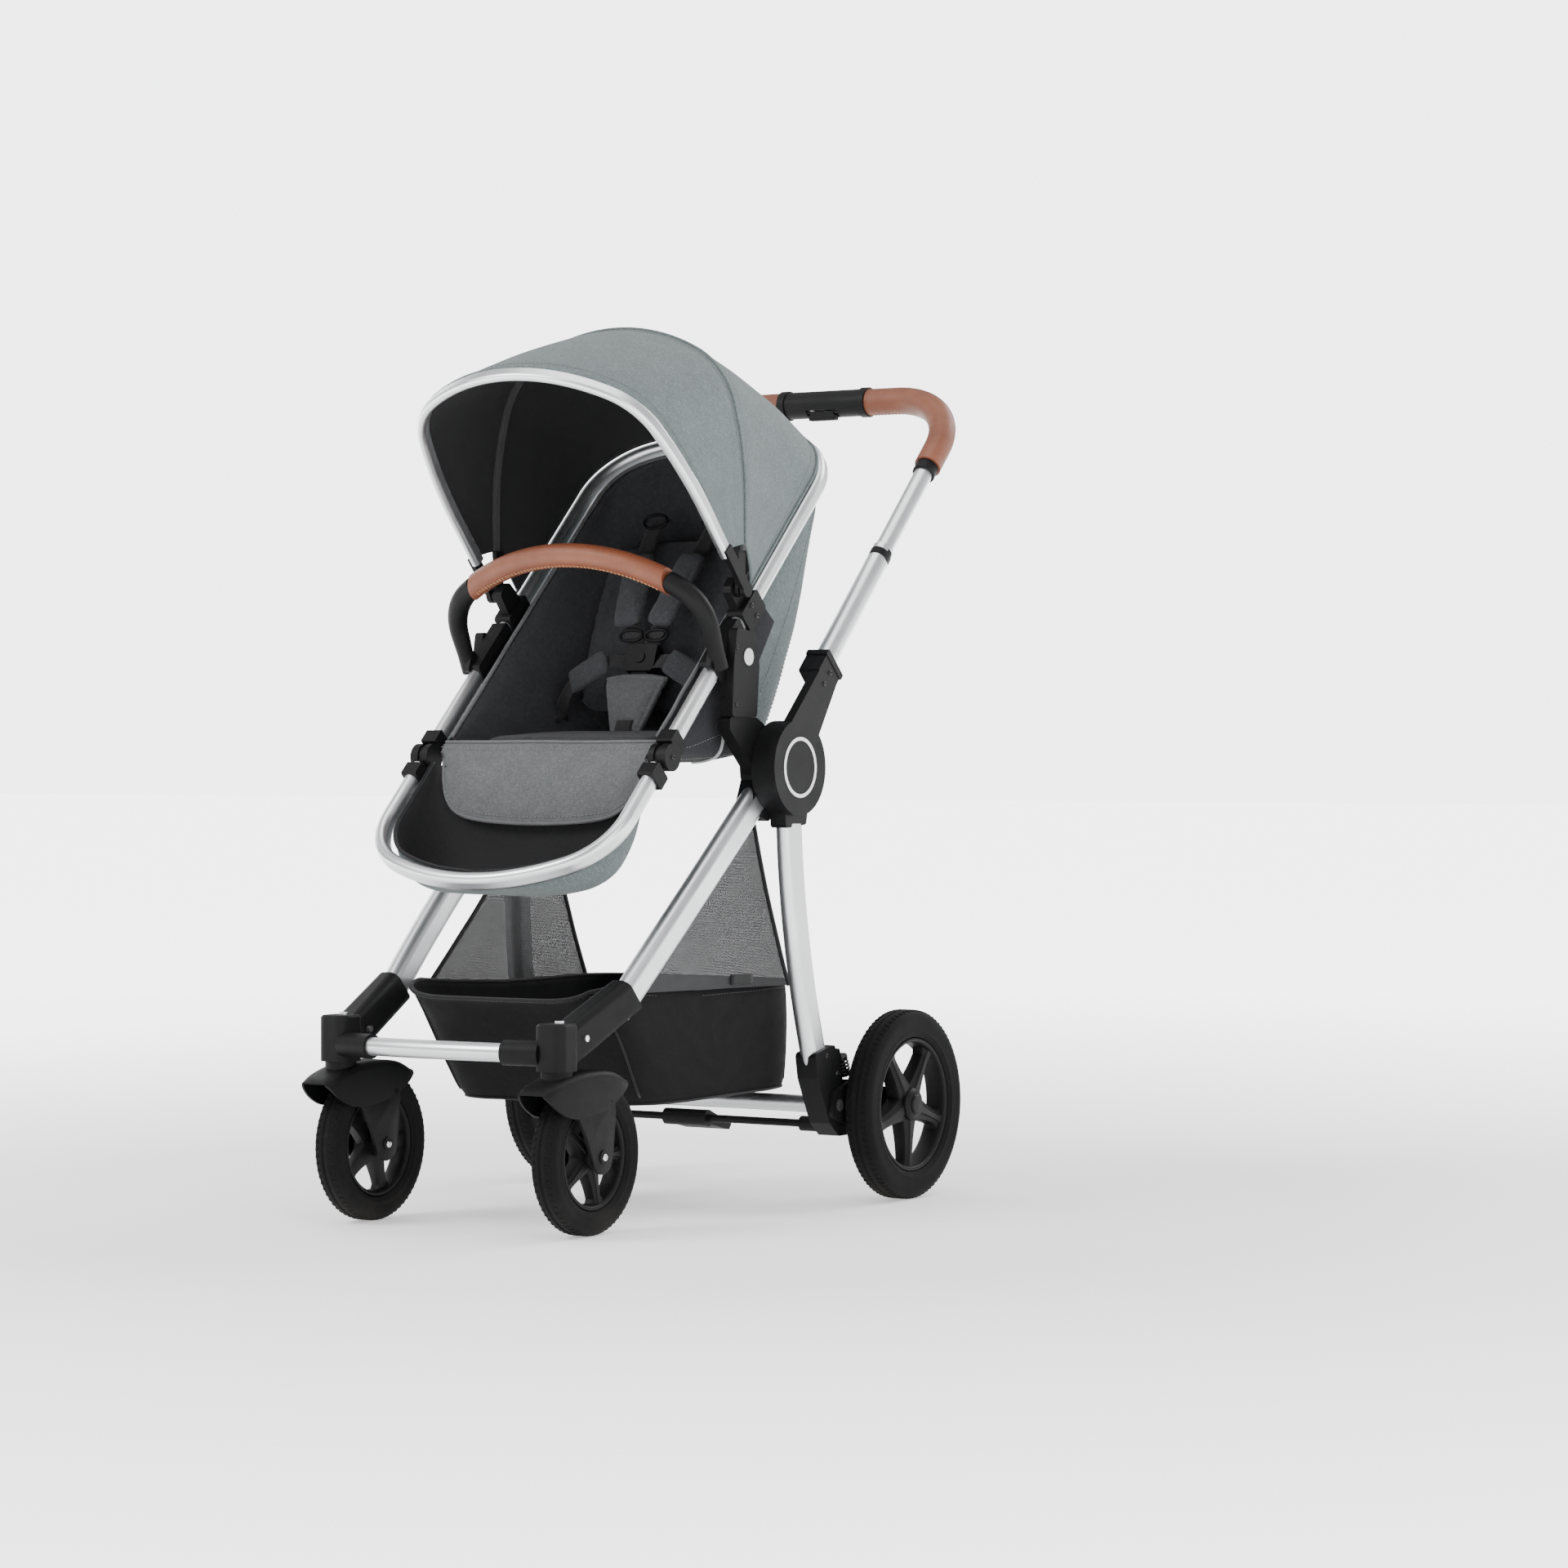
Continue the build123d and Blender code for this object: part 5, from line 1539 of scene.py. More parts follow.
def axleRule():
    # copies of one part set evenly round an axle that lies along X
    tree, given, out = newRule("partsRoundAxle", [
        ("Part", "Object", None), ("Count", "Int", 5), ("Radius", "Float", 0.1),
        ("Turn", "Float", 0.0), ("Centre", "Vector", None), ("Material", "Material", None)])
    ring = nodeWith(tree, "GeometryNodeMeshCircle", {"Vertices": given["Count"], "Radius": given["Radius"]})
    index = tree.nodes.new("GeometryNodeInputIndex")
    angle = mathNode(tree, "DIVIDE", times(tree, index.outputs[0], 2 * math.pi), given["Count"])
    spin = nodeWith(tree, "ShaderNodeCombineXYZ", {2: angle})
    copies = nodeWith(tree, "GeometryNodeInstanceOnPoints",
        {"Points": ring.outputs[0], "Instance": partOf(tree, given["Part"]), "Rotation": spin.outputs[0]})
    turn = nodeWith(tree, "ShaderNodeCombineXYZ", {2: given["Turn"]})
    first = nodeWith(tree, "GeometryNodeTransform",
        {"Geometry": copies.outputs[0], "Rotation": turn.outputs[0]})
    second = nodeWith(tree, "GeometryNodeTransform",
        {"Rotation": (0, math.pi / 2, 0), "Geometry": first.outputs[0], "Translation": given["Centre"]})
    endRule(tree, second.outputs[0], given["Material"], out)
    return tree


def stitchRule():
    # thread stitches along seam lines: an even run of small beads that lie along the seam
    tree, given, out = newRule("stitchesAlongSeam", [
        ("Seams", "Object", None), ("Spacing", "Float", 0.006), ("Length", "Float", 0.0042),
        ("Thread", "Float", 0.0005), ("Material", "Material", None)])
    even = tree.nodes.new("GeometryNodeResampleCurve")
    even.mode = "LENGTH"
    wire(tree, partOf(tree, given["Seams"]), even.inputs["Curve"])
    wire(tree, given["Spacing"], even.inputs["Length"])
    spots = tree.nodes.new("GeometryNodeCurveToPoints")
    spots.mode = "EVALUATED"
    wire(tree, even.outputs[0], spots.inputs["Curve"])
    bead = nodeWith(tree, "GeometryNodeMeshUVSphere", {"Segments": 6, "Rings": 4, "Radius": 1.0})
    size = nodeWith(tree, "ShaderNodeCombineXYZ", {0: given["Thread"], 1: given["Thread"],
        2: mathNode(tree, "DIVIDE", given["Length"], 2.0)})
    copies = nodeWith(tree, "GeometryNodeInstanceOnPoints",
        {"Points": spots.outputs["Points"], "Instance": bead.outputs["Mesh"],
        "Rotation": spots.outputs["Rotation"], "Scale": size.outputs[0]})
    endRule(tree, copies.outputs[0], given["Material"], out)
    return tree


def coilRule():
    # a coil spring standing on the origin along Z
    tree, given, out = newRule("coilSpring", [
        ("Turns", "Float", 5.0), ("Radius", "Float", 0.008), ("Height", "Float", 0.024),
        ("Wire", "Float", 0.0014), ("Material", "Material", None)])
    spiral = nodeWith(tree, "GeometryNodeCurveSpiral",
        {"Resolution": 20, "Rotations": given["Turns"], "Start Radius": given["Radius"],
        "End Radius": given["Radius"], "Height": given["Height"]})
    section = nodeWith(tree, "GeometryNodeCurvePrimitiveCircle",
        {"Resolution": 10, "Radius": given["Wire"]})
    body = nodeWith(tree, "GeometryNodeCurveToMesh",
        {"Curve": spiral.outputs[0], "Profile Curve": section.outputs[0], "Fill Caps": True})
    endRule(tree, body.outputs[0], given["Material"], out)
    return tree


def screwRule():
    # one screw head on each given point, turned to face the way the point says
    tree, given, out = newRule("screwHeads", [
        ("Places", "Object", None), ("Head", "Object", None), ("Size", "Float", 1.0),
        ("Material", "Material", None)])
    facing = tree.nodes.new("GeometryNodeInputNamedAttribute")
    facing.data_type = "FLOAT_VECTOR"
    facing.inputs["Name"].default_value = "facing"
    aim = tree.nodes.new("FunctionNodeAlignRotationToVector")
    aim.axis = "Z"
    wire(tree, facing.outputs["Attribute"], aim.inputs["Vector"])
    copies = nodeWith(tree, "GeometryNodeInstanceOnPoints",
        {"Points": partOf(tree, given["Places"]), "Instance": partOf(tree, given["Head"]),
        "Rotation": aim.outputs[0], "Scale": given["Size"]})
    endRule(tree, copies.outputs[0], given["Material"], out)
    return tree


def grown(tree, name, values, place=None):
    # runs a rule once and keeps the result as a plain mesh
    holder = bpy.data.objects.new(name, bpy.data.meshes.new(name + "Seed"))
    scene.collection.objects.link(holder)
    rule = holder.modifiers.new("rule", "NODES")
    rule.node_group = tree
    for item in tree.interface.items_tree:
        if item.item_type == "SOCKET" and item.in_out == "INPUT" and item.name in values:
            rule[item.identifier] = values[item.name]
    holder.update_tag()
    bpy.context.view_layer.update()
    graph = bpy.context.evaluated_depsgraph_get()
    mesh = bpy.data.meshes.new_from_object(holder.evaluated_get(graph), preserve_all_data_layers=True,
        depsgraph=graph)
    holder.modifiers.clear()
    holder.data = mesh
    if place is not None:
        mesh.transform(place)
    if not mesh.materials:
        mesh.materials.append(values["Material"])
    mesh.polygons.foreach_set("use_smooth", [True] * len(mesh.polygons))
    return holder


def dropped(*pieces):
    for piece in pieces:
        bpy.data.objects.remove(piece, do_unlink=True)


def joined(name, pieces):
    # several pieces of one body as one mesh
    shape = bmesh.new()
    materials = []
    for piece in pieces:
        start = len(shape.faces)
        shape.from_mesh(piece.data)
        shape.faces.ensure_lookup_table()
        own = list(piece.data.materials) or [None]
        for material in own:
            if material not in materials:
                materials.append(material)
        lookup = [materials.index(m) for m in own]
        for face in shape.faces[start:]:
            face.material_index = lookup[min(face.material_index, len(lookup) - 1)]
    mesh = bpy.data.meshes.new(name)
    shape.to_mesh(mesh)
    shape.free()
    for material in materials:
        mesh.materials.append(material)
    dropped(*pieces)
    piece = bpy.data.objects.new(name, mesh)
    scene.collection.objects.link(piece)
    return piece


axleTree, stitchTree, coilTree, screwTree = axleRule(), stitchRule(), coilRule(), screwRule()


def seamCurve(name, lines):
    curve = bpy.data.curves.new(name, "CURVE")
    curve.dimensions = "3D"
    for line in lines:
        spline = curve.splines.new("POLY")
        spline.points.add(len(line) - 1)
        for point, spot in zip(spline.points, line):
            point.co = (*spot, 1)
    holder = bpy.data.objects.new(name, curve)
    scene.collection.objects.link(holder)
    return holder


def stitched(name, lines, material, spacing=0.006, length=0.0042, thread=0.00055):
    seams = seamCurve(name + "Path", lines)
    made = grown(stitchTree, name, {"Seams": seams, "Spacing": spacing, "Length": length, "Thread": thread,
        "Material": material})
    dropped(seams)
    return made


# wheels
wheelSet = {
    "front": {"x": 165, "y": -373.5, "z": 97, "tyre": 97, "rim": 66, "wide": 36, "hub": 16, "hubHalf": 19.5,
    "bore": 5.2, "blocks": 66, "spokeWide": 15, "turn": 0.3},
    "rear": {"x": 273, "y": 205.5, "z": 125, "tyre": 125, "rim": 88, "wide": 40, "hub": 22, "hubHalf": 20,
    "bore": 6.3, "blocks": 86, "spokeWide": 19, "turn": 0.0},
}


def lathe(kit, profile, centre, steps=112, slot=0):
    # profile holds (radius, along the axle) pairs in millimetres, closed on itself
    rows = []
    for k in range(steps + 1):
        a = 2 * math.pi * k / steps
        rows.append([(centre[0] + x * 0.001, centre[1] + r * 0.001 * math.cos(a),
            centre[2] + r * 0.001 * math.sin(a)) for r, x in profile])
    addGrid(kit, np.array(rows), slot, loop=True)


def rounded(profile, times=1):
    line = [np.array(p, float) for p in profile]
    for _ in range(times):
        fine = []
        for a, b in zip(line, line[1:] + line[:1]):
            fine += [a * 0.8 + b * 0.2, a * 0.2 + b * 0.8]
        line = fine
    return [tuple(p) for p in line]


def makeTyre(name, size, hand):
    centre = at(size["x"] * hand, size["y"], size["z"])
    r, rim, half = size["tyre"], size["rim"], size["wide"] / 2
    profile = [(rim + 0.2, -half + 6), (rim + 2, -half + 3.6), (rim + 6, -half + 2.2),
        (rim + 7.5, -half + 1.0), (rim + 10, -half + 1.6), (r - 13, -half + 0.4),
               (r - 9, -half + 0.9), (r - 5, -half + 2.6), (r - 2.0, -half + 5.6), (r - 0.9, -7.5),
               (r - 0.2, -6.8), (r - 0.1, -2.2), (r - 1.6, -1.6),
               (r - 1.6, 1.6), (r - 0.1, 2.2), (r - 0.2, 6.8), (r - 0.9, 7.5), (r - 2.0, half - 5.6),
               (r - 5, half - 2.6), (r - 9, half - 0.9), (r - 13, half - 0.4),
               (rim + 10, half - 1.6), (rim + 7.5, half - 1.0), (rim + 6, half - 2.2),
               (rim + 2, half - 3.6), (rim + 0.2, half - 6)]
    kit = newKit()
    lathe(kit, rounded(profile), centre, 120)
    body = pieceFrom(kit, name + "Body", [tyreBlack])
    blockKit = newKit()
    blockRows = []
    for radial, scale in ((-3.6, 1.0), (-0.5, 0.94), (-0.15, 0.8)):
        blockRows.append([((radial - drop) * 0.001, y * scale * 0.001, z * 0.001)
            for y, z, drop in ((-1.9, 8.2, 0.0), (1.3, 8.2, 0.0), (2.7, half - 7.4, 0.5),
            (2.9, half - 5.0, 1.5), (-0.4, half - 5.0, 1.5), (-0.8, half - 7.4, 0.5))])
    first = addGrid(blockKit, np.array(blockRows), 0, loop=True)
    addFace(blockKit, [first + 12 + k for k in range(6)])
    block = pieceFrom(blockKit, name + "Block", [tyreBlack])
    other = block.copy()
    other.data = block.data.copy()
    other.data.transform(Matrix.Diagonal((1, 1, -1, 1)))
    other.data.flip_normals()
    scene.collection.objects.link(other)
    parts = [body]
    for k, (shape, shift) in enumerate(((block, 0.0), (other, math.pi / size["blocks"]))):
        values = {"Part": shape, "Count": size["blocks"], "Radius": r * 0.001, "Turn": shift,
            "Centre": centre, "Material": tyreBlack}
        parts.append(grown(axleTree, name + "Blocks" + str(k), values))
    dropped(block, other)
    return sharpened(joined(name, parts), 38)


def makeRim(name, size, hand):
    centre = at(size["x"] * hand, size["y"], size["z"])
    rim, half = size["rim"], size["wide"] / 2
    kit = newKit()
    ring = [(rim - 0.3, -half + 5.4), (rim - 2.6, -half + 4.6), (rim - 5.0, -half + 5.4),
        (rim - 6.4, -half + 8), (rim - 7.4, -4), (rim - 7.4, 4), (rim - 6.4, half - 8),
            (rim - 5.0, half - 5.4), (rim - 2.6, half - 4.6), (rim - 0.3, half - 5.4)]
    lathe(kit, rounded(ring), centre, 96)
    hub, hubHalf, bore = size["hub"], size["hubHalf"], size["bore"]
    core = [(bore, -hubHalf), (hub * 0.62, -hubHalf), (hub * 0.7, -hubHalf + 2), (hub, -hubHalf + 5),
        (hub, hubHalf - 6), (hub * 0.86, hubHalf - 2.4), (hub * 0.62, hubHalf - 0.6), (bore, hubHalf - 0.4)]
    if hand < 0:
        core = [(r, -x) for r, x in reversed(core)]
    lathe(kit, rounded(core), centre, 48)
    cap = [(0.3, 14 if size is wheelSet["rear"] else hubHalf - 2), (size["hub"] * 0.5, hubHalf - 1.5),
        (size["hub"] * 0.62, hubHalf + 0.2), (size["hub"] * 0.52, hubHalf + 1.9),
        (size["hub"] * 0.2, hubHalf + 2.4), (0.3, hubHalf + 2.5)]
    if size is wheelSet["rear"]:
        lathe(kit, [(r, x * hand) for r, x in cap], centre, 40)
    body = pieceFrom(kit, name + "Ring", [rimBlack])
    spokeKit = newKit()
    reach = rim - 5.5
    rows = []
    for k in range(15):
        t = k / 14
        r = 0.55 * hub + (reach - 0.55 * hub) * t
        w = size["spokeWide"] * (1.02 - 0.95 * t + 0.5 * t ** 3 + 0.12 * max(0, t - 0.86) * 20)
        deep = (half - 5.0) * (0.92 - 0.26 * t + 0.16 * max(0, t - 0.85) * 6)
        back = -(half - 7) * (0.75 - 0.2 * t)
        section = [(-w, back), (-w * 1.04, deep * 0.25), (-w * 0.88, deep * 0.66), (-w * 0.42, deep * 0.82),
            (-w * 0.3, deep), (w * 0.3, deep), (w * 0.42, deep * 0.82), (w * 0.88, deep * 0.66),
            (w * 1.04, deep * 0.25), (w, back), (w * 0.5, back - 0.8), (-w * 0.5, back - 0.8)]
        rows.append([(r * 0.001, y * 0.001, z * hand * 0.001) for y, z in section])
    first = addGrid(spokeKit, np.array(rows), 0, loop=True)
    addFace(spokeKit, [first + k for k in range(12)])
    addFace(spokeKit, [first + 14 * 12 + k for k in range(12)])
    spoke = pieceFrom(spokeKit, name + "Spoke", [rimBlack])
    made = grown(axleTree, name + "Spokes", {"Part": spoke, "Count": 5, "Radius": 0.0, "Turn": size["turn"],
        "Centre": centre, "Material": rimBlack})
    dropped(spoke)
    return sharpened(joined(name, [body, made]), 32)


wheelPieces = []
for place, size in wheelSet.items():
    for hand, side in bothSides:
        wheelPieces.append((makeTyre(place + "Tyre" + side.title(), size, hand), place, side, "tyre"))
        wheelPieces.append((makeRim(place + "Rim" + side.title(), size, hand), place, side, "rim"))
print("wheels")


# front forks
forkSet = {
    "x": 165, "swivelY": -434, "wheelY": -373.5, "wheelZ": 97, "wall": 3.0, "round": 9.0, "neck": 0.0195,
    # along the mudguard from its front lip: place, crown height, skirt height, half-width
    "cap": [(-488, 180, 177.5, 19), (-482, 184.5, 172, 23), (-468, 190, 160, 25.5),
    (-448, 195.5, 150, 26.4), (-424, 200.5, 146, 26.8), (-398, 203, 149, 26.8),
            (-366, 203, 153, 26.8), (-342, 199.5, 163, 26.2), (-322, 192, 174, 24), (-309, 187, 181, 19)],
    "arm": [(-430, 160), (-404, 166), (-370, 166), (-347, 168), (-345, 146), (-349, 118), (-351, 97),
    (-357, 82), (-373.5, 74.5), (-390, 82), (-397, 98), (-406, 120), (-424, 146)],
}


def saddleRing(half, high, low, wall):
    # an upside-down U, outside first and then back along the inside
    outer, inner = [], []
    for path, w, h, r in ((outer, half, high, forkSet["round"]),
        (inner, half - wall, high - wall, forkSet["round"] - wall)):
        r = min(r, max(0.5, (h - low) * 0.8))
        path += [(-w, low), (-w, low + (h - r - low) * 0.5)]
        path += [(-w + r - r * math.cos(a), h - r + r * math.sin(a))
            for a in np.linspace(0, math.pi / 2, 6)]
        path += [(x, h) for x in (-w * 0.3, 0.0, w * 0.3)]
        path += [(w - r + r * math.sin(a), h - r + r * math.cos(a)) for a in np.linspace(0, math.pi / 2, 6)]
        path += [(w, low + (h - r - low) * 0.5), (w, low)]
    return outer + inner[::-1]


def makeFork(name, hand):
    x0 = forkSet["x"] * hand
    kit = newKit()
    steps = np.linspace(0, 1, len(forkSet["cap"]))
    fine = np.linspace(0, 1, 34)
    lines = [smoothSeries(np.interp(fine, steps, [c[k] for c in forkSet["cap"]]), 2) for k in range(4)]
    rings = []
    for y, high, low, half in zip(*lines):
        rings.append([tuple(at(x0 + x, y, z)) for x, z in saddleRing(half, high, min(low, high - 1.6),
            min(forkSet["wall"], (high - low) * 0.6))])
    first = addGrid(kit, np.array(rings), 0, loop=True)
    wide = len(rings[0])
    addFace(kit, [first + k for k in range(wide)])
    addFace(kit, [first + (len(rings) - 1) * wide + k for k in range(wide)])
    outline = rounded(forkSet["arm"], 2)
    middle = np.mean(outline, axis=0)
    for side in (1, -1):
        rows = []
        for x, size in ((21.2, 0.97), (22.0, 1.0), (25.6, 1.0), (26.6, 0.96)):
            rows.append([tuple(at(x0 + side * x, *(middle + (np.array(p) - middle) * size)))
                for p in outline])
        first = addGrid(kit, np.array(rows), 0, loop=True)
        addFace(kit, [first + k for k in range(len(outline))])
        addFace(kit, [first + 3 * len(outline) + k for k in range(len(outline))])
        addTube(kit, [at(x0 + side * x, forkSet["wheelY"], forkSet["wheelZ"]) for x in (19.8, 26.0, 28.2)],
            0.0085, sides=28)
    addTube(kit, [at(x0, forkSet["swivelY"], z) for z in (193, 198, 204.2)], forkSet["neck"], sides=40)
    addTube(kit, [at(x0 + x, forkSet["wheelY"], forkSet["wheelZ"]) for x in (-26, 0, 26)], 0.005, sides=16)
    return sharpened(pieceFrom(kit, name, [mouldedBlack]), 34)


forks = {side: makeFork(side + "Fork", hand) for hand, side in bothSides}
print("forks")


# suspension springs
springSet = {"turns": 5.0, "radius": 0.0080, "wire": 0.0014, "height": 0.024, "rod": 0.0045}
springParts = []
for hand in (1, -1):
    top = at(234 * hand, 108, 192)
    way = Vector((0, 0.42, -0.9)).normalized()
    turn = way.to_track_quat("Z", "Y").to_matrix().to_4x4()
    values = {"Turns": springSet["turns"], "Radius": springSet["radius"], "Height": springSet["height"],
        "Wire": springSet["wire"], "Material": springBlack}
    springParts.append(grown(coilTree, "springCoil" + str(hand), values,
        Matrix.Translation(top + way * 0.001) @ turn))
    kit = newKit()
    addTube(kit, [top + way * t for t in (0.0, 0.012, 0.0255)], springSet["rod"], sides=14)
    addTube(kit, [top + way * t for t in (-0.0008, 0.0016)], 0.0094, sides=22)
    addTube(kit, [top + way * t for t in (0.0242, 0.0262)], 0.0094, sides=22)
    springParts.append(sharpened(pieceFrom(kit, "springCore" + str(hand), [springBlack]), 40))
springs = joined("suspensionSprings", springParts)
print("springs")


# slim clamp rings and sleeved bumper arms
clampSet = {"from": 352.0, "to": 363.0, "x": 222.0}
clampParts = []
for hand in (1, -1):
    kit = newKit()
    addTube(kit, [onHandle(clampSet["x"] * hand, d)
        for d in (clampSet["from"] - 0.3, clampSet["from"] + 1.2, clampSet["to"] - 1.2, clampSet["to"])],
        0.0162, sides=40, flat=0.86, up=(1, 0, 0))
    addTube(kit, [onHandle(clampSet["x"] * hand, d)
        for d in (clampSet["to"] - 0.5, clampSet["to"] + 4, clampSet["to"] + 5)], 0.0139, sides=32)
    clampParts.append(sharpened(pieceFrom(kit, "clampRing" + str(hand), [mouldedBlack]), 40))
slimClamps = joined("slimClamps", clampParts)


def onBumper(x, height, out=0.0):
    a = math.radians(115)
    return at(x, -118 + height * math.cos(a) + out * math.sin(a),
        690 + height * math.sin(a) - out * math.cos(a))


bumperArch = archPoints(196, 10, 60, ((70, 58),), 0.0, 161)
armParts = []
for hand in (1, -1):
    spots = [(x, s) for x, s in bumperArch if x * hand > 148 or (s < 60 and x * hand > 0)]
    spots.sort(key=lambda p: p[1])
    line = smoothPath([onBumper(x, s) for x, s in spots], 60, rounds=1)
    one, two = frames(line, up=(0, -0.9, 0.42))
    rings = []
    for k, spot in enumerate(line):
        t = k / (len(line) - 1)
        r = 0.0086 + 0.0052 * min(1.0, t * 1.5) ** 0.7
        rings.append([spot + r * (math.cos(a) * one[k] + math.sin(a) * two[k])
            for a in np.linspace(0, 2 * math.pi, 20, endpoint=False)])
    kit = newKit()
    first = addGrid(kit, np.array(rings), 0, loop=True)
    addFace(kit, [first + k for k in range(20)])
    addFace(kit, [first + 59 * 20 + k for k in range(20)])
    armParts.append(sharpened(pieceFrom(kit, "armSleeve" + str(hand), [mouldedBlack]), 40))
armSleeves = joined("bumperArmSleeves", armParts)
print("clamps and arms")


# screws
def screwHead():
    # a low button head with a six-sided socket, facing +Z
    kit = newKit()
    rows = []
    for r, z, flat in ((1.0, 0.0, 0), (1.0, 0.12, 0), (0.9, 0.34, 0), (0.66, 0.5, 0), (0.48, 0.52, 1),
        (0.44, 0.5, 1), (0.42, 0.14, 1)):
        ring = []
        for k in range(18):
            a = 2 * math.pi * k / 18
            edge = math.cos(math.pi / 6) / math.cos((a % (math.pi / 3)) - math.pi / 6) if flat else 1.0
            ring.append((r * edge * math.cos(a), r * edge * math.sin(a), z))
        rows.append(ring)
    first = addGrid(kit, np.array(rows), 0, loop=True)
    addFace(kit, [first + k for k in range(18)])
    addFace(kit, [first + 6 * 18 + k for k in range(18)])
    return sharpened(pieceFrom(kit, "screwPattern", [rivetSteel]), 35)


def screwed(name, places, size, material, head):
    mesh = bpy.data.meshes.new(name + "Places")
    mesh.from_pydata([tuple(p) for p, _ in places], [], [])
    facing = mesh.attributes.new("facing", "FLOAT_VECTOR", "POINT")
    facing.data.foreach_set("vector", np.array([tuple(f) for _, f in places], np.float32).ravel())
    holder = bpy.data.objects.new(name + "Places", mesh)
    scene.collection.objects.link(holder)
    made = grown(screwTree, name, {"Places": holder, "Head": head, "Size": size, "Material": material})
    dropped(holder)
    return made


head = screwHead()
blackScrew = hardMaterial("blackScrew", finishes["blackScrewBase"], finishes["blackScrewWorn"], 900.0, 0.4,
    0.35, 0.1, metal=0.8)
screwSets = []
places = []
for hand in (1, -1):
    places.append((onHandle(240.1 * hand, 118, 0), (hand, 0, 0)))
    places.append((onHandle(240.1 * hand, 138, 0), (hand, 0, 0)))
screwSets.append((screwed("handleScrews", places, 0.0032, blackScrew, head), "handle_lower"))
places = []
for hand in (1, -1):
    places += [(at(244.1 * hand, 58, 196), (hand, 0, 0)), (at(244.1 * hand, 84, 172), (hand, 0, 0))]
screwSets.append((screwed("bracketScrews", places, 0.0034, blackScrew, head), "rear_frame"))
places = []
for hand in (1, -1):
    places += [(onSeat(195.6 * hand, 268, 9), (hand, 0, 0)), (onSeat(195.6 * hand, 268, -9), (hand, 0, 0)),
        (at(197.6 * hand, knee[0], knee[1]), (hand, 0, 0))]
screwSets.append((screwed("seatScrews", places, 0.0034, blackScrew, head), "seat"))
places = []
for hand in (1, -1):
    for side in (1, -1):
        places.append((at(165 * hand + side * 28.6, -373.5, 97), (side, 0, 0)))
        screwSets.append((screwed(("left" if hand > 0 else "right") + "AxleScrew" + ("Out"
            if side * hand > 0 else "In"), places[-1:], 0.0046, rivetSteel, head),
            "front_caster_" + ("left" if hand > 0 else "right")))
places = []
for hand in (1, -1):
    places += [(at(206.1 * hand, -96, 722), (hand, 0, 0)), (at(206.1 * hand, -98, 650), (hand, 0, 0))]
screwSets.append((screwed("adaptorScrews", places, 0.0028, blackScrew, head), "chassis"))
dropped(head)
print("screws")


# stitches
def gripPath(handSide, out, up, start=545, stop=75, count=150):
    # a line on the leather grip, from low on the side tube round the corner to the middle piece
    corner, half, radius = 679.8 - 106, 222, 106
    spots = []
    for k in range(count):
        t = k / (count - 1)
        straight = corner - start
        bend = math.pi / 2 * radius
        run = (half - radius) - stop
        d = t * (straight + bend + run)
        if d < straight:
            x, along, nx, na = half, start + d, 1, 0
        elif d < straight + bend:
            a = (d - straight) / radius
            nx, na = math.cos(a), math.sin(a)
            x, along = half - radius + radius * nx, corner + radius * na
        else:
            x, along, nx, na = half - radius - (d - straight - bend), 679.8, 0, 1
        spots.append(onHandle((x + nx * out) * handSide, along + na * out, up))
    return spots


stitchSets = []
for hand, side in bothSides:
    lines = [gripPath(hand, -18.75 * math.cos(a), -18.75 * math.sin(a)) for a in (0.62, 0.78)]
    stitchSets.append((stitched(side + "GripStitches", lines, tanThread, 0.0055, 0.0038, 0.0006),
        "handle_upper"))


lines = []
for angle in (-2.2, -2.36):
    line = []
    for k in range(1, len(bumperArch) - 1):
        x, s = bumperArch[k]
        if abs(x) > 147:
            continue
        dx, ds = bumperArch[k + 1] - bumperArch[k - 1]
        size = math.hypot(dx, ds)
        nx, ns = ds / size, -dx / size
        if ns < 0:
            nx, ns = -nx, -ns
        line.append(onBumper(x + nx * 15.7 * math.cos(angle), s + ns * 15.7 * math.cos(angle),
            15.7 * math.sin(angle)))
    lines.append(line)
stitchSets.append((stitched("bumperStitches", lines, tanThread, 0.0055, 0.0038, 0.0006), "bumper"))


def seamOn(rows, pick, off, centre):
    # a line of the cloth grid, just above the face that looks away from centre
    rows = np.asarray(rows)
    line, normal = rows[pick], surfaceNormals(rows)[pick]
    way = np.sign(np.sum(normal * (line - centre), axis=1, keepdims=True))
    return [tuple(p) for p in line + normal * way * off]


rearRows, frontRows = canopyPieces["canopyRearPanel"][4], canopyPieces["canopyFrontPanel"][4]
canopyCentre = np.array(tuple(at(0, -30, 850)))


seamLift, shellLift = 0.0004, 0.0005
for name, rows, row, body in (("Mid", frontRows, 1, "canopy_mid"), ("Front", frontRows, -3, "canopy_front"),
                              ("Rear", rearRows, 2, "seat")):
    seam = seamOn(rows, row, seamLift, canopyCentre)
    stitchSets.append((stitched("canopy" + name + "Stitches", [seam], greyThread), body))
shellCentre = np.array(tuple(onSeat(0, 300, -40)))
across = seatSet["across"]
seams = [seamOn(shellRows, (slice(None), j), shellLift, shellCentre) for j in (3, 14, 46, across - 4)]
stitchSets.append((stitched("shellStitches", seams, greyThread), "seat"))
lines = [[tuple(p) for p in basketRows[1] + (basketRows[1] - basketRows[1].mean(axis=0)) * 0.004]]
basketStitches = stitched("basketStitches", lines, darkThread, 0.007, 0.005, 0.0007)
lines = [[tuple(Vector(p) + Vector((0, -0.0008, 0))) for p in calfRows[k]] for k in (4, -3)]
calfStitches = stitched("calfStitches", lines, greyThread)
print("stitches")


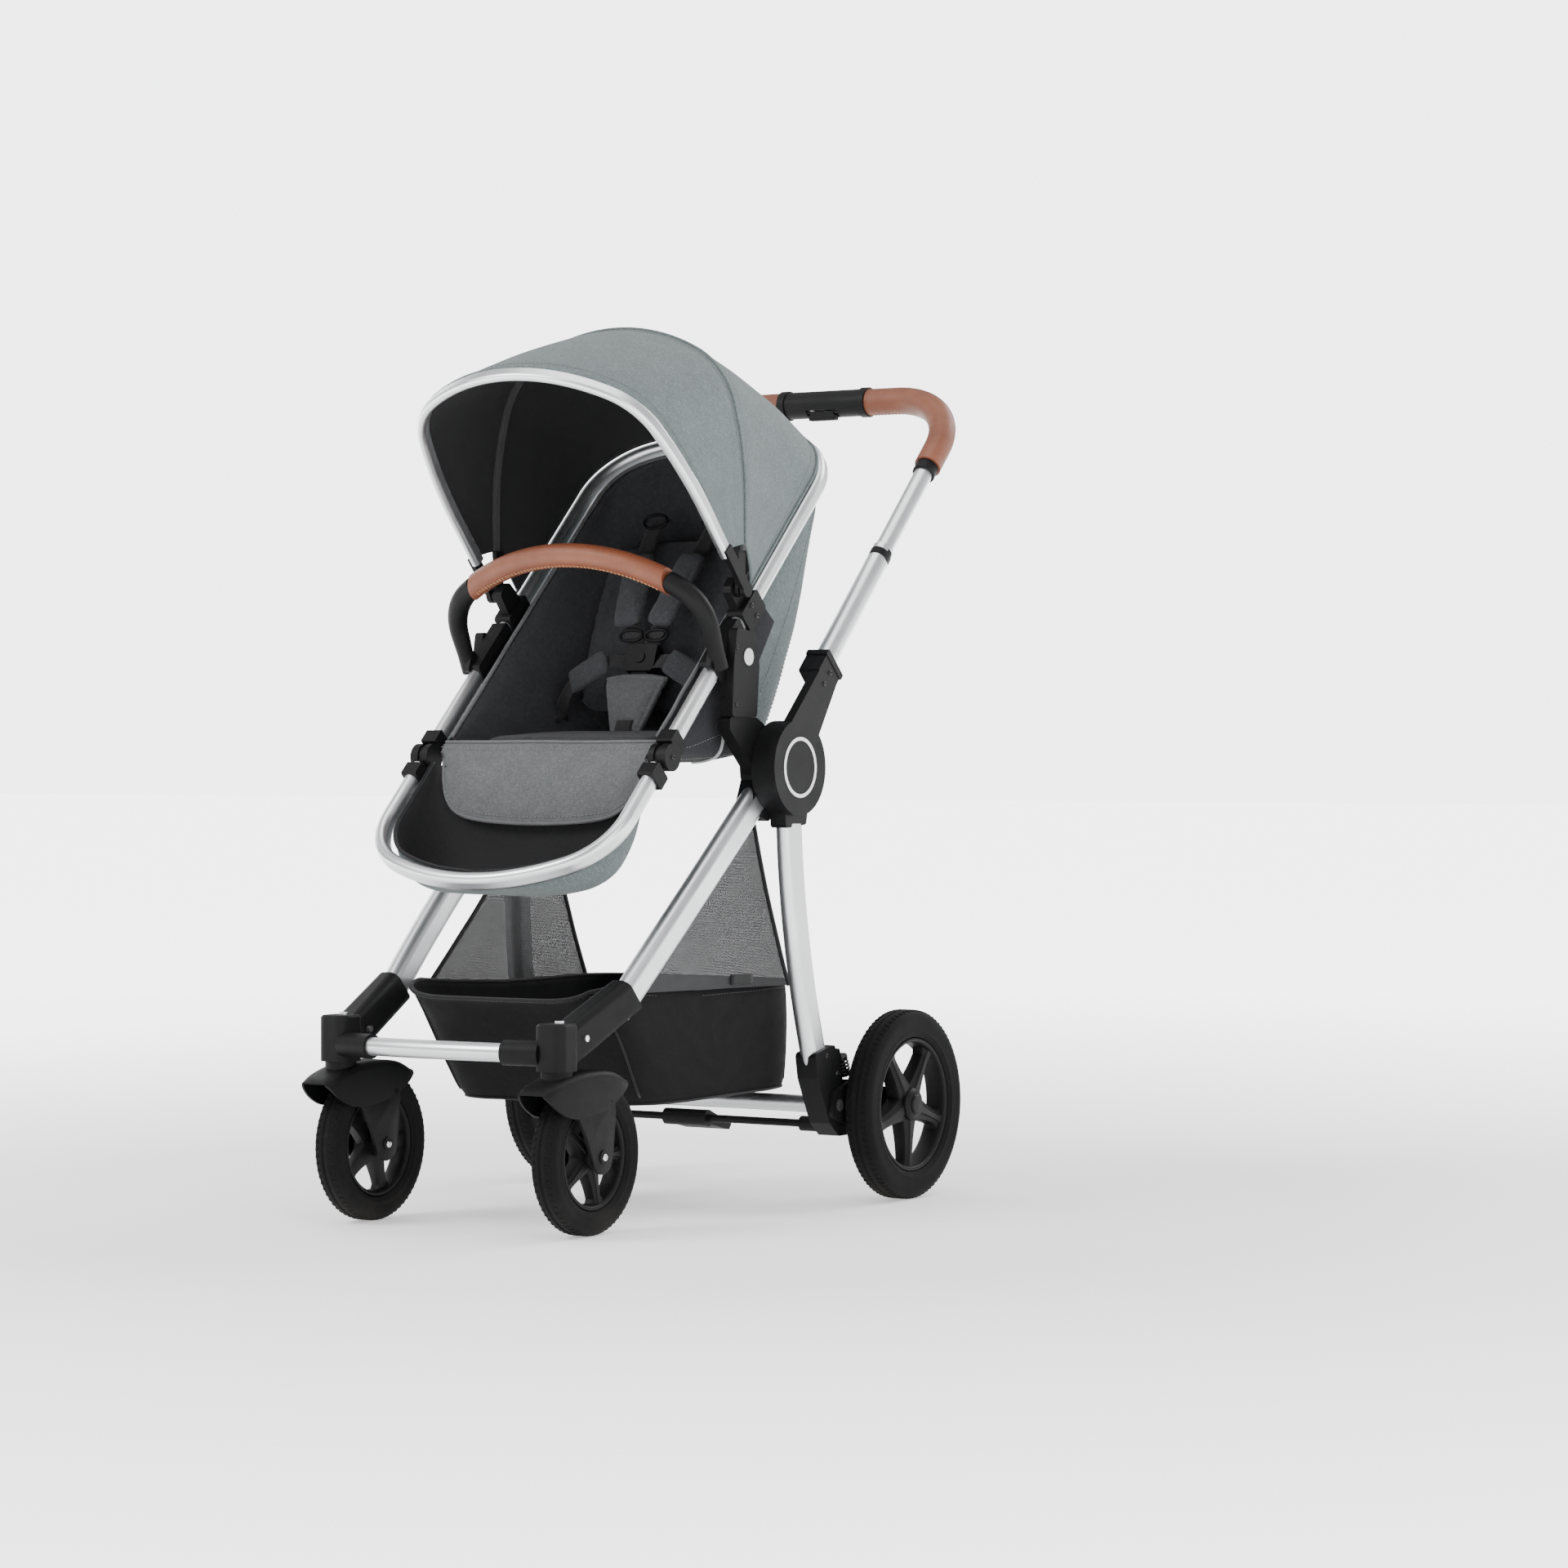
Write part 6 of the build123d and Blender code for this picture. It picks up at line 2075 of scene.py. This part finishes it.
# which body each piece moves with
def carried(piece, body, slotName, *nodes):
    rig.ride(piece, body)
    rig.slot(piece, slotName)
    if nodes:
        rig.replaces(piece, *nodes)


wheelBody = {"front": "front_wheel_", "rear": "rear_wheel_"}
for piece, place, side, kind in wheelPieces:
    slotName = "tyre_rubber" if kind == "tyre" else "rim_plastic"
    carried(piece, wheelBody[place] + side, slotName, place + "_" + kind + "_" + side)
for side, piece in forks.items():
    carried(piece, "front_caster_" + side, "black_plastic", "front_fork_" + side)
carried(slimClamps, "handle_lower", "black_plastic", "handle_clamps")
carried(armSleeves, "bumper", "black_plastic")
carried(springs, "rear_frame", "spring_steel", "spring_stacks")
for piece, body in screwSets:
    carried(piece, body, "steel")
for piece, body in stitchSets:
    carried(piece, body, "tan_leather" if body in ("handle_upper", "bumper") else "grey_fabric")

# canopy: each panel stretches between the two frames that carry it

def turned(angle, distance=190):
    return tuple(fromPin(0, distance, math.radians(angle)))


rearPiece, rearFlat, rearArea = canopyPieces["canopyRearPanel"][:3]
frontPiece, frontFlat, frontArea = canopyPieces["canopyFrontPanel"][:3]
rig.blend(rearPiece, "seat", "canopy_mid", turned(38), turned(88))
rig.blend(frontPiece, "canopy_mid", "canopy_front", turned(92), turned(128))
for piece, node in ((rearPiece, "canopy_rear"), (frontPiece, "canopy_front")):
    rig.slot(piece, "grey_fabric")
    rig.replaces(piece, node)
carried(midWelt, "canopy_mid", "grey_fabric")
carried(frontHem, "canopy_front", "grey_fabric")
carried(rearHem, "seat", "grey_fabric")

carried(seatShell, "seat", "grey_fabric", "seat_shell")
carried(seatLiner, "seat", "dark_fabric", "seat_pad")
carried(seatCushion, "seat", "dark_fabric")
carried(backCushion, "seat", "dark_fabric")
carried(seatPiping, "seat", "dark_fabric")
carried(sidePiping, "seat", "grey_fabric")
carried(crotchPad, "seat", "dark_fabric")
carried(harnessStraps, "seat", "black_fabric")
carried(strapGuards, "seat", "black_plastic")
for piece in shoulderPads + waistPads:
    carried(piece, "seat", "dark_fabric")

carried(calfPanel, "seat", "dark_fabric")
carried(calfHem, "seat", "dark_fabric")
carried(calfWelt, "seat", "dark_fabric")
carried(calfStitches, "seat", "dark_fabric")
carried(footPocket, "footrest", "grey_fabric", "foot_bucket")
carried(footPiping, "footrest", "black_fabric")

basketFrom, basketTo = tuple(at(0, -200, 250)), tuple(at(0, 50, 250))
for piece in (basketTub, basketBinding, basketSeams, basketStitches):
    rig.blend(piece, "chassis", "rear_frame", basketFrom, basketTo)
    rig.slot(piece, "black_fabric")
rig.replaces(basketTub, "basket")
for piece in [p for p, _, _ in meshPieces] + [meshBinding, blankTag]:
    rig.blend(piece, "chassis", "rear_frame", basketFrom, basketTo)
    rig.slot(piece, "mesh_fabric" if piece not in (meshBinding, blankTag) else "black_fabric")
for piece, _, _ in meshPieces:
    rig.replaces(piece, "basket_sides")

# how each cloth is held, with its flat cut size in metres
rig.sheet(rearPiece, flat=rearFlat, area=rearArea, held="stretched", rests_on=["seat_hoop", "mid_rib"],
    with_pieces=["canopyRearHem", "canopyRearStitches"])
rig.sheet(frontPiece, flat=frontFlat, area=frontArea, held="stretched", rests_on=["mid_rib", "front_hoop"],
    with_pieces=["canopyMidWelt", "canopyFrontHem", "canopyMidStitches", "canopyFrontStitches"])
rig.sheet(seatShell, flat=shellFlat, area=shellArea, held="hung", rests_on=["seat_hoop"],
    with_pieces=["sidePiping", "shellStitches"])
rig.sheet(seatLiner, flat=linerFlat, area=linerArea, held="hung", rests_on=["seat_hoop", "seatShellCloth"],
    with_pieces=["seatPiping"])
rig.sheet(calfPanel, flat=calfFlat, area=calfArea, held="hung", rests_on=["seatLinerCloth"],
    with_pieces=["calfPanelHem", "calfPanelWelt", "calfStitches"])
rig.sheet(footPocket, flat=footFlat, area=footArea, held="hung", rests_on=["foot_hoop"],
    with_pieces=["footPocketPiping"])
tubSize = math.sqrt(basketArea)
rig.sheet(basketTub, flat=(tubSize * 1.25, tubSize), area=basketArea, held="hung", rests_on=["meshBinding"],
    with_pieces=["basketBinding", "basketSeams", "basketStitches"])
for piece, flat, area in meshPieces:
    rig.sheet(piece, flat=flat, area=area, held="stretched", rests_on=["pivot_core_left", "basketTub"],
        with_pieces=["meshBinding"])
for piece in [seatCushion, backCushion, crotchPad] + shoulderPads + waistPads:
    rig.padded(piece, 0.7)

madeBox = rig.bounds()


def plainBox(box):
    return [[float(v) for v in side] for side in box]


with open("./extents.json", "w") as out:
    json.dump({"cad": plainBox(cadBox), "scene": plainBox(madeBox)}, out)
print("pieces placed on their bodies")
